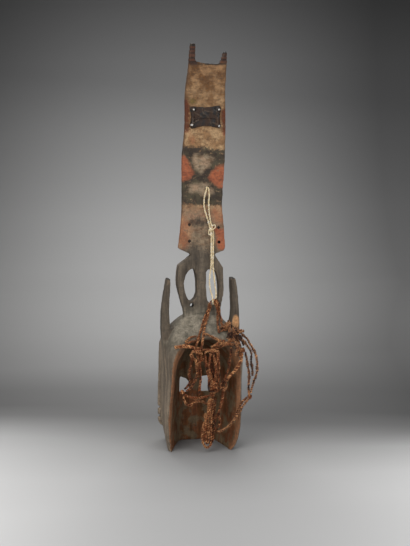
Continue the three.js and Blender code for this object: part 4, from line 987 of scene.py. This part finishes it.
def carve_wood():
    points, quads, edges = refined("carved_mask", WOOD_CELL)
    points = slant_holes(round_out_holes(eased(points, edges, 3)))
    normals = surface_normals(points, quads)
    x, y, z = (points + DRAWING_ORIGIN).T
    hollow = hollow_distance(x, y, z)
    inside = (hollow < HOLLOW_SKIN) & (z < HOLLOW_CROWN) & (y < HOLLOW_MOUTH_Y)
    rim = soft_step(y, -17, -13) * inside
    plank = soft_step(z, 535, 560)
    box = (z < BOX_TOP) & ~inside
    # Vertical gouge cuts in the hollow, rounder adze cuts outside and faint ones on the plank
    gouge, adze, flat = (tool_cuts(points, *tool) for tool in (GOUGE, ADZE, FINE_CUTS))
    cut = np.where(inside, gouge, np.where(box, adze, flat * (1 - plank * 0.4)))
    swell = cloudy(points * (1, 1, 0.6), 60.0, 5) * 0.8
    hollowness = np.einsum("ij,ij->i", neighbour_mean(points, edges) - points, normals)
    for _ in range(2):
        hollowness = neighbour_mean(hollowness, edges)
    # Painted shade on the plank's side faces: how much each place faces sideways, spread a little
    sidelong = np.abs(normals[:, 0]) * (z < MARGIN_TOP)
    for _ in range(MARGIN_ROUNDS):
        sidelong = neighbour_mean(sidelong, edges)
    chips = np.clip(-hollowness * 2.2, 0, 1) * np.clip(cloudy(points, 7.0, 71) + 0.1, 0, 1) * 1.6
    ring_cut = np.zeros(len(points))
    for side, heights in PRONG_RINGS.items():
        for height in heights:
            groove = np.exp(-((z - height) / RING_WIDTH) ** 2) * RING_DEPTH
            ring_cut += (x * side > 10) * (z > PRONG_FOOT) * groove
    move = cut - 0.7 + swell - chips - ring_cut
    move = move * soft_step(z, 0, 3)
    points = points + normals * move[:, None]
    points[:, 2] = np.clip(points[:, 2], 0, MASK_HEIGHT)
    horn = (y < HORN_BACK_Y) & (np.abs(x) > HORN_INNER_X) & (z > HORN_FOOT_Z)
    upward = soft_step(normals[:, 2], 0.45, 0.8)
    # Painted shade inside the plank's holes: their walls turn near black
    bore = np.max([np.clip(1 - (np.hypot(x - a, z - b) - radius) / 1.5, 0, 1)
                   for (a, b), radius in HOLES_IN_PLANK], axis=0)
    fields = {
        "inside": inside * (1 - rim),
        "level": z,
        "cap": upward * (z > 455) * ((z < 480) | (z > PRONG_FOOT)),
        "bore": bore * (y > -89) * (y < -71.6) * (z > 500),
        "rim": rim,
        "plank": plank,
        "margin": sidelong,
        "worn": soft_step(-hollowness, 0.12, 0.55),
        # Darker in hollows and creases: partly dirt, partly painted shade
        "soil": soft_step(hollowness, 0.05, 0.4),
        "dark": polygon_distance(x, z, DARK_BAND),
        "red": nearest_of(x, z, RED_AREAS),
        "orange": nearest_of(x, z, ORANGE_AREAS),
        "cream": nearest_of(x, z, CREAM_AREAS),
        "waist": z - np.interp(x, WAIST_X, WAIST_Z),
        "stain": np.hypot((x - STAIN[0]) / 1.2, z - STAIN[1]) - STAIN_RADIUS,
        "brink": plank * np.clip(1 - np.abs(z - BRINK_Z) / 5, 0, 1) * (np.abs(x - BRINK_X) < 42),
        "smudge": np.min([np.hypot((x - a), (z - b)) - c for a, b, c in SMUDGES], axis=0),
        "dome": (soft_step(z, 240, 330) * soft_step(y, -150, -60) * (1 - soft_step(z, 368, 402))
                 * ~inside * ~horn),
        "ring": np.clip(ring_cut / RING_DEPTH, 0, 1) + soft_step(z, 1090, 1097) * (x > 0)
        + soft_step(z, 1068, 1076) * (x < 0),
        "prong": soft_step(z, 1038, 1052) * (np.abs(x + 8) > 20),
        "bare": np.hypot((x - BARE_PATCH[0]) / BARE_PATCH_HALF[0],
                         (z - BARE_PATCH[1]) / BARE_PATCH_HALF[1]) + np.maximum(0, -y - 78) / 6,
    }
    piece = build("mask_wood", points, quads)
    for name, values in fields.items():
        set_field(piece, name, np.asarray(values, float))
    return piece


TAN_TOP = colour("#5d3d1e")
TAN = colour("#8c6a48")
TAN_PALE = colour("#af8f69")
TAN_BROWN = colour("#573a20")
TAN_PINK = colour("#b08a6e")
TAN_GREY = colour("#7d6853")
GREY_DARK = colour("#5e5140")
GREY_LIGHT = colour("#8c7a63")
OLIVE = colour("#6b5a2c")
GREY_WOOD = colour("#473e34")
GREY_PALE = colour("#6c6051")
DOME_GREY = colour("#8c8373")
DOME_GREEN = colour("#645e51")
DOME_DARK = colour("#4c4638")
SIDE_GREY = colour("#685c4e")
SIDE_PALE = colour("#a08e79")
RIM_RED = colour("#8a5f40")
RIM_GREY = colour("#7d6f5e")
HOLLOW_BROWN = colour("#68411d")
HOLLOW_RED = colour("#85502f")
HOLLOW_GREY = colour("#7f6b50")
DARK_PAINT = colour("#372e26")
DARK_GREEN = colour("#423d2f")
DARK_BLACK = colour("#2b241e")
RED_OCHRE = colour("#a45b3b")
RED_DEEP = colour("#81452d")
RED_BROWN = colour("#4a1802")
RED_RUST = colour("#602907")
ORANGE = colour("#9b6242")
ORANGE_PALE = colour("#b08561")
CREAM = colour("#93816a")
CREAM_PINK = colour("#a1866c")
CREAM_BROWN = colour("#6a543c")
BLACK_BROWN = colour("#140d09")
PRONG_RED = colour("#4d2c1b")
BARE_WOOD = colour("#cb9868")
WORN_WOOD = colour("#a88e72")
# Heights between which a colour of the wood changes into another
SIDE_CHANGE = (240.0, 330.0)
RIM_CHANGE = (270.0, 315.0)
GREY_CHANGE = (590.0, 650.0)
PINK_CHANGE = (640.0, 680.0)
RED_CHANGE = (840.0, 870.0)
TOP_CHANGE = (880.0, 1010.0)


def wood_material():
    paint = Paint("wood")
    mix, span, field = paint.mix, paint.span, paint.field
    noise, stretched = paint.noise, paint.stretched
    plus, less, times, scaled = paint.plus, paint.less, paint.times, paint.scaled
    place = paint.place()
    middle = noise(place, 60.0, 4.0, 0.6)
    fine = noise(place, 230.0, 3.0, 0.6)
    smear = noise(stretched(place, (55.0, 55.0, 120.0)), 1.0, 4.0, 0.6)
    grain = noise(stretched(place, (230.0, 230.0, 26.0)), 1.0, 5.0, 0.6)
    streak = noise(stretched(place, (60.0, 60.0, 6.0)), 1.0, 4.0, 0.55)
    blotch = noise(stretched(place, (34.0, 34.0, 28.0)), 1.0, 4.0, 0.6)
    level = field("level")
    edge = scaled(less(middle, 0.5), 16.0, times(less(fine, 0.5), 14.0))

    def area(name, soft=2.0, worn=(0.3, 0.45)):
        """Share of a painted area's cover, with an uneven edge and worn places."""
        reach = plus(field(name), edge)
        cover = span(reach, -soft, soft, 1.0, 0.0)
        kept = span(scaled(fine, 0.5, times(smear, 0.5)), *worn)
        return times(cover, kept)

    def ragged(value, size):
        """A value moved up and down by the noise that makes edges uneven."""
        return scaled(edge, size, value)

    def between(pattern, first, second, low=0.42, high=0.58):
        return mix(span(pattern, low, high), first, second)

    shade = between(streak, GREY_WOOD, GREY_PALE, 0.38, 0.62)
    side = between(streak, SIDE_GREY, SIDE_PALE, 0.36, 0.64)
    lower = span(ragged(level, 4.0), *SIDE_CHANGE, 1.0, 0.0)
    shade = mix(lower, shade, side)
    dome = between(blotch, DOME_GREEN, DOME_GREY, 0.36, 0.6)
    dome = mix(span(smear, 0.54, 0.7, 0.0, 0.5), dome, DOME_DARK)
    shade = mix(field("dome"), shade, dome)
    tan = mix(span(ragged(level, 5.0), *TOP_CHANGE),
              between(blotch, TAN, TAN_PALE), between(blotch, TAN_TOP, TAN))
    low = between(smear, TAN_GREY, TAN_PINK, 0.44, 0.6)
    tan = mix(span(level, *PINK_CHANGE), low, tan)
    greyed = span(ragged(level, 4.0), *GREY_CHANGE, 0.75, 0.0)
    tan = mix(greyed, tan, between(middle, GREY_DARK, GREY_LIGHT))
    # Painted shade: the plank's side faces turn darker brown
    margin = times(field("margin"), span(middle, 0.35, 0.6, 0.3, 1.0))
    tan = mix(span(margin, 0.05, 0.4, 0.0, 0.75), tan, TAN_BROWN)
    tan = mix(span(smear, 0.5, 0.72, 0.0, 0.65), tan, TAN_BROWN)
    above_waist = plus(field("waist"), times(edge, 2.5))
    on_plank = span(above_waist, -12.0, 18.0)
    shade = mix(on_plank, shade, tan)
    stain = plus(field("stain"), edge)
    shade = mix(span(stain, -4.0, 5.0, 0.75, 0.0), shade, OLIVE)
    shade = mix(times(area("orange", 8.0), 0.8), shade, between(blotch, ORANGE, ORANGE_PALE, 0.4, 0.6))
    band = mix(span(middle, 0.5, 0.62), between(blotch, DARK_PAINT, DARK_GREEN), DARK_BLACK)
    shade = mix(times(area("dark", 3.0), 0.95), shade, band)
    cream = mix(span(smear, 0.5, 0.74), between(middle, CREAM, CREAM_PINK), CREAM_BROWN)
    shade = mix(times(area("cream", 5.0), 0.92), shade, cream)
    red = mix(span(level, *RED_CHANGE), between(smear, RED_OCHRE, RED_DEEP, 0.5, 0.76),
              between(smear, RED_BROWN, RED_RUST, 0.42, 0.62))
    shade = mix(times(area("red", 4.0), 0.9), shade, red)
    smudge = span(plus(field("smudge"), edge), -4.0, 8.0, 0.85, 0.0)
    shade = mix(smudge, shade, DARK_PAINT)
    shade = mix(field("prong"), shade, PRONG_RED)
    shade = mix(field("ring"), shade, BLACK_BROWN)
    inner = mix(span(blotch, 0.46, 0.56), between(streak, HOLLOW_BROWN, HOLLOW_RED), HOLLOW_GREY)
    shade = mix(field("inside"), shade, inner)
    rim = mix(span(ragged(level, 3.0), *RIM_CHANGE),
              between(streak, RIM_RED, HOLLOW_BROWN, 0.5, 0.7), RIM_GREY)
    shade = mix(field("rim"), shade, rim)
    bare = span(ragged(field("bare"), 0.03), 0.75, 1.15, 1.0, 0.0)
    shade = mix(bare, shade, BARE_WOOD)
    worn = times(field("worn"), span(middle, 0.42, 0.58))
    shade = mix(times(worn, 0.5), shade, WORN_WOOD)
    # Darkening towards near black: in hollows and creases partly dirt and partly painted shade, also on
    # upward tops and along the plank's top edge
    for name, strength in (("soil", 0.6), ("cap", 0.9), ("brink", 0.75)):
        shade = mix(times(field(name), strength), shade, BLACK_BROWN)
    # Painted shade: the walls of the plank's holes near black
    shade = mix(field("bore"), shade, BLACK_BROWN)
    lines = times(span(grain, 0.36, 0.54, 0.34, 0.0), scaled(field("plank"), -0.8, 1.0))
    shade = mix(lines, shade, BLACK_BROWN)
    uneven = plus(span(smear, 0.36, 0.64, 1.12, 0.84), span(fine, 0.36, 0.64, -0.2, 0.2))
    shade = mix(0.9, shade, uneven, "MULTIPLY")
    rough = span(fine, 0.35, 0.65, 0.72, 0.95)
    bump = plus(times(grain, 0.6), plus(fine, smear))
    return paint.finish(shade, rough, bump, 0.6, 0.0007)


def dress_wood():
    piece = carve_wood()
    dress(piece, wood_material(), "wood", "carved_mask")


dress_wood()


# Dried hide over the plank

HIDE_CELL = 1.0
HIDE_RIDGES = [
    [(28, 926), (16, 913), (2, 906)], [(-2, 929), (-4, 912)], [(-8, 921), (-30, 916)],
    [(-6, 914), (-18, 902), (-26, 884)], [(8, 897), (22, 889), (30, 878)], [(-30, 889), (-46, 880)],
    [(24, 900), (26, 884)], [(-40, 918), (-42, 900), (-44, 884)],
]
HIDE_KNOBS = [(23, 925), (-46, 924), (27, 884), (-46, 880)]
HIDE_MIDDLE_Y = -80
RIDGE_WIDTH = 2.0
RIDGE_HEIGHT = 1.3
KNOB_RADIUS = 5.5
KNOB_HEIGHT = 3.0
KNOB_HOLE = 3.2
HIDE_ARCH = (-12, 872)
HIDE_ARCH_HALF = (22, 14)


def make_hide():
    points, quads, edges = refined("rawhide_lashing", HIDE_CELL)
    points = eased(points, edges, 3)
    normals = surface_normals(points, quads)
    x, y, z = (points + DRAWING_ORIGIN).T
    at_back = soft_step(y, -71, -68)
    ridge = np.full(len(points), 1e9)
    for route in HIDE_RIDGES:
        for start, end in zip(route[:-1], route[1:]):
            ridge = np.minimum(ridge, stretch_distance(x, z, start, end))
    raised = np.exp(-(ridge / RIDGE_WIDTH) ** 2)
    knob = np.min([np.hypot(x - a, z - b) for a, b in HIDE_KNOBS], axis=0)
    knobs = np.clip(1 - (knob / KNOB_RADIUS) ** 2, 0, 1) ** 0.5
    crinkle = cloudy(points, 6.0, 3) * 0.5 + cloudy(points, 2.5, 9) * 0.25
    off_plank = soft_step(np.abs(y - HIDE_MIDDLE_Y), 9, 10.5)
    move = at_back * (raised * RIDGE_HEIGHT + knobs * KNOB_HEIGHT) + crinkle * off_plank
    points = points + normals * move[:, None]
    piece = build("hide_patch", points, quads)
    set_field(piece, "raised", raised * at_back)
    set_field(piece, "knob", np.clip(1 - knob / KNOB_HOLE, 0, 1) * at_back)
    arch = np.hypot((x - HIDE_ARCH[0]) / HIDE_ARCH_HALF[0], (z - HIDE_ARCH[1]) / HIDE_ARCH_HALF[1])
    set_field(piece, "arch", arch)
    return piece


HIDE_BLACK = colour("#120c09")
HIDE_BROWN = colour("#301b0a")
HIDE_RIDGE_HIGHLIGHT = colour("#5a4530")
HIDE_KNOB_GLINT = colour("#d2cdc6")


def hide_material():
    paint = Paint("rawhide")
    place = paint.place()
    broad = paint.noise(place, 60.0, 4.0)
    fine = paint.noise(place, 400.0, 4.0)
    shade = paint.mix(paint.span(broad, 0.44, 0.58), HIDE_BLACK, HIDE_BROWN)
    shade = paint.mix(paint.span(paint.field("arch"), 0.7, 1.1, 0.8, 0.0), shade, HIDE_BROWN)
    # Painted highlight: pale lines along the crests of the raised ridges
    ridge_highlight = paint.times(paint.field("raised"), paint.span(fine, 0.35, 0.6))
    shade = paint.mix(paint.times(ridge_highlight, 0.7), shade, HIDE_RIDGE_HIGHLIGHT)
    # Painted highlight: pale glints on the knobs at the lashing's holes
    glint = paint.times(paint.field("knob"), paint.span(fine, 0.3, 0.5, 0.6, 1.0))
    shade = paint.mix(paint.span(glint, 0.1, 0.6), shade, HIDE_KNOB_GLINT)
    rough = paint.span(broad, 0.4, 0.6, 0.45, 0.7)
    return paint.finish(shade, rough, fine, 0.4, 0.0005)


def dress_hide():
    piece = make_hide()
    dress(piece, hide_material(), "rawhide", "rawhide_lashing")


dress_hide()


# Floor, backdrop and lights

FLOOR_FRONT = 4.0
FLOOR_BACK = -2.6
FLOOR_HALF = 6.0
SWEEP_RADIUS = 1.6
SWEEP_TOP = 5.0
SWEEP_STEPS = 16

# Tone of the sweep against the distance along it: height less place towards the viewer, in metres. The tones
# are painted light, darkest at the wall's foot and darker towards its top
SWEEP_LIGHT_TONES = [(-0.6, 0.41), (-0.35, 0.38), (0.3, 0.15), (0.7, 0.18), (1.1, 0.28), (1.7, 0.35),
               (3.0, 0.45), (3.6, 0.45), (4.4, 0.38), (4.9, 0.29), (5.3, 0.16)]
SWEEP_REACH = (-1.0, 6.0)
SWEEP_SLANT = 0.2114
SWEEP_MIDDLE = 0.1
SWEEP_SPREAD = 0.97
FOOT_TILT = 0.35
FOOT_POWER = 1.6
SWEEP_LIFT = 1.9
BRIGHTEST_LIFT = 1.6
DARKEST_FADE = 0.36
FLOOR_MIDDLE = -0.04


def painted_backdrop_light(paint):
    """Painted light on the backdrop: a wall darker at its top, foot and sides round a painted pool of light,
    and a floor lighter at its sides round a painted shadow in its middle.
    """
    split = paint.node("SeparateXYZ", {"Vector": paint.place()}).outputs
    along = paint.less(split["Z"], split["Y"])
    slanted = paint.scaled(split["Y"], -SWEEP_SLANT, split["X"])
    tilt = paint.times(slanted, paint.span(along, 0.3, 1.2, -FOOT_TILT, 0.0))
    along = paint.plus(along, paint.times(tilt, paint.span(along, -0.5, 0.0)))
    ramp = paint.node("ValToRGB", {"Fac": paint.span(along, *SWEEP_REACH)})
    low, high = SWEEP_REACH
    stops = ramp.color_ramp.elements
    for place, tone in SWEEP_LIGHT_TONES[1:-1]:
        stops.new((place - low) / (high - low))
    for stop, (place, tone) in zip(stops, SWEEP_LIGHT_TONES):
        stop.position = (place - low) / (high - low)
        stop.color = (tone, tone, tone, 1.0)

    # A bell across the sweep: the shape of the painted pool of light
    def painted_pool(middle):
        aside = paint.maths("DIVIDE", paint.less(slanted, middle), SWEEP_SPREAD)
        squared = paint.times(aside, aside)
        return paint.maths("EXPONENT", paint.times(squared, -1.0))

    # Painted light on the floor: lighter towards its sides, with painted shadow round the mask
    painted_floor_light = paint.scaled(painted_pool(FLOOR_MIDDLE), -SWEEP_LIFT, 1 + SWEEP_LIFT)
    painted_floor_light = paint.maths("MINIMUM", painted_floor_light, BRIGHTEST_LIFT)
    # Painted pool of light on the wall, fading towards its sides
    fade = painted_pool(SWEEP_MIDDLE)
    fade = paint.maths("POWER", fade, paint.span(along, 1.2, 2.6, FOOT_POWER, 1.0))
    fade = paint.maths("MAXIMUM", fade, DARKEST_FADE)
    sides = paint.mix(paint.span(along, 0.0, 0.45), painted_floor_light, fade)
    return paint.mix(1.0, ramp.outputs["Color"], sides, "MULTIPLY")


def make_stage():
    """A pale floor that curves up into a wall behind the mask."""
    profile = [(FLOOR_FRONT, 0.0), (FLOOR_BACK, 0.0)]
    for step in range(1, SWEEP_STEPS + 1):
        angle = step / SWEEP_STEPS * math.pi / 2
        back = FLOOR_BACK - SWEEP_RADIUS * math.sin(angle)
        profile.append((back, SWEEP_RADIUS * (1 - math.cos(angle))))
    profile.append((FLOOR_BACK - SWEEP_RADIUS, SWEEP_TOP))
    points = np.array([(side * FLOOR_HALF, y, z) for y, z in profile for side in (1, -1)]) / MM
    rows = np.arange(len(profile) - 1) * 2
    floor = build("floor", points, np.stack([rows, rows + 1, rows + 3, rows + 2], axis=1))
    paint = Paint("floor")
    # The floor and wall carry painted light and shade in their tones
    floor.data.materials.append(paint.finish(painted_backdrop_light(paint), 0.9))


# Lights: name, place, what it aims at, side of its square in metres, watts and colour
LIGHTS = [
    ("key", (2.4, 2.8, 2.7), (0, 0, 0.5), 3.0, 108.0, (1.0, 0.98, 0.95)),
    ("fill", (-1.9, 3.3, 1.9), (0, 0, 0.5), 2.4, 44.0, (0.97, 0.98, 1.0)),
    ("top", (0.3, 0.2, 3.6), (0, 0, 0), 3.0, 40.0, (1.0, 1.0, 1.0)),
    ("front", (-0.3, -2.4, 2.6), (0, 0, 0.5), 2.4, 60.0, (1.0, 0.99, 0.97)),
]
WORLD_COLOUR = (0.5, 0.51, 0.53, 1.0)
WORLD_STRENGTH = 0.3


def add_light(name, place, aim, size, power, tone):
    data = bpy.data.lights.new(name, "AREA")
    data.shape = "RECTANGLE"
    data.size = size
    data.size_y = size
    data.energy = power
    data.color = tone
    light = bpy.data.objects.new(name, data)
    light.location = place
    light.rotation_euler = (Vector(aim) - Vector(place)).to_track_quat("-Z", "Y").to_euler()
    bpy.context.scene.collection.objects.link(light)


def make_lights():
    for light in LIGHTS:
        add_light(*light)
    world = bpy.data.worlds.new("world")
    world.use_nodes = True
    background = world.node_tree.nodes["Background"]
    background.inputs["Color"].default_value = WORLD_COLOUR
    background.inputs["Strength"].default_value = WORLD_STRENGTH
    bpy.context.scene.world = world
    bpy.context.scene.view_settings.view_transform = "Standard"


make_stage()
make_lights()
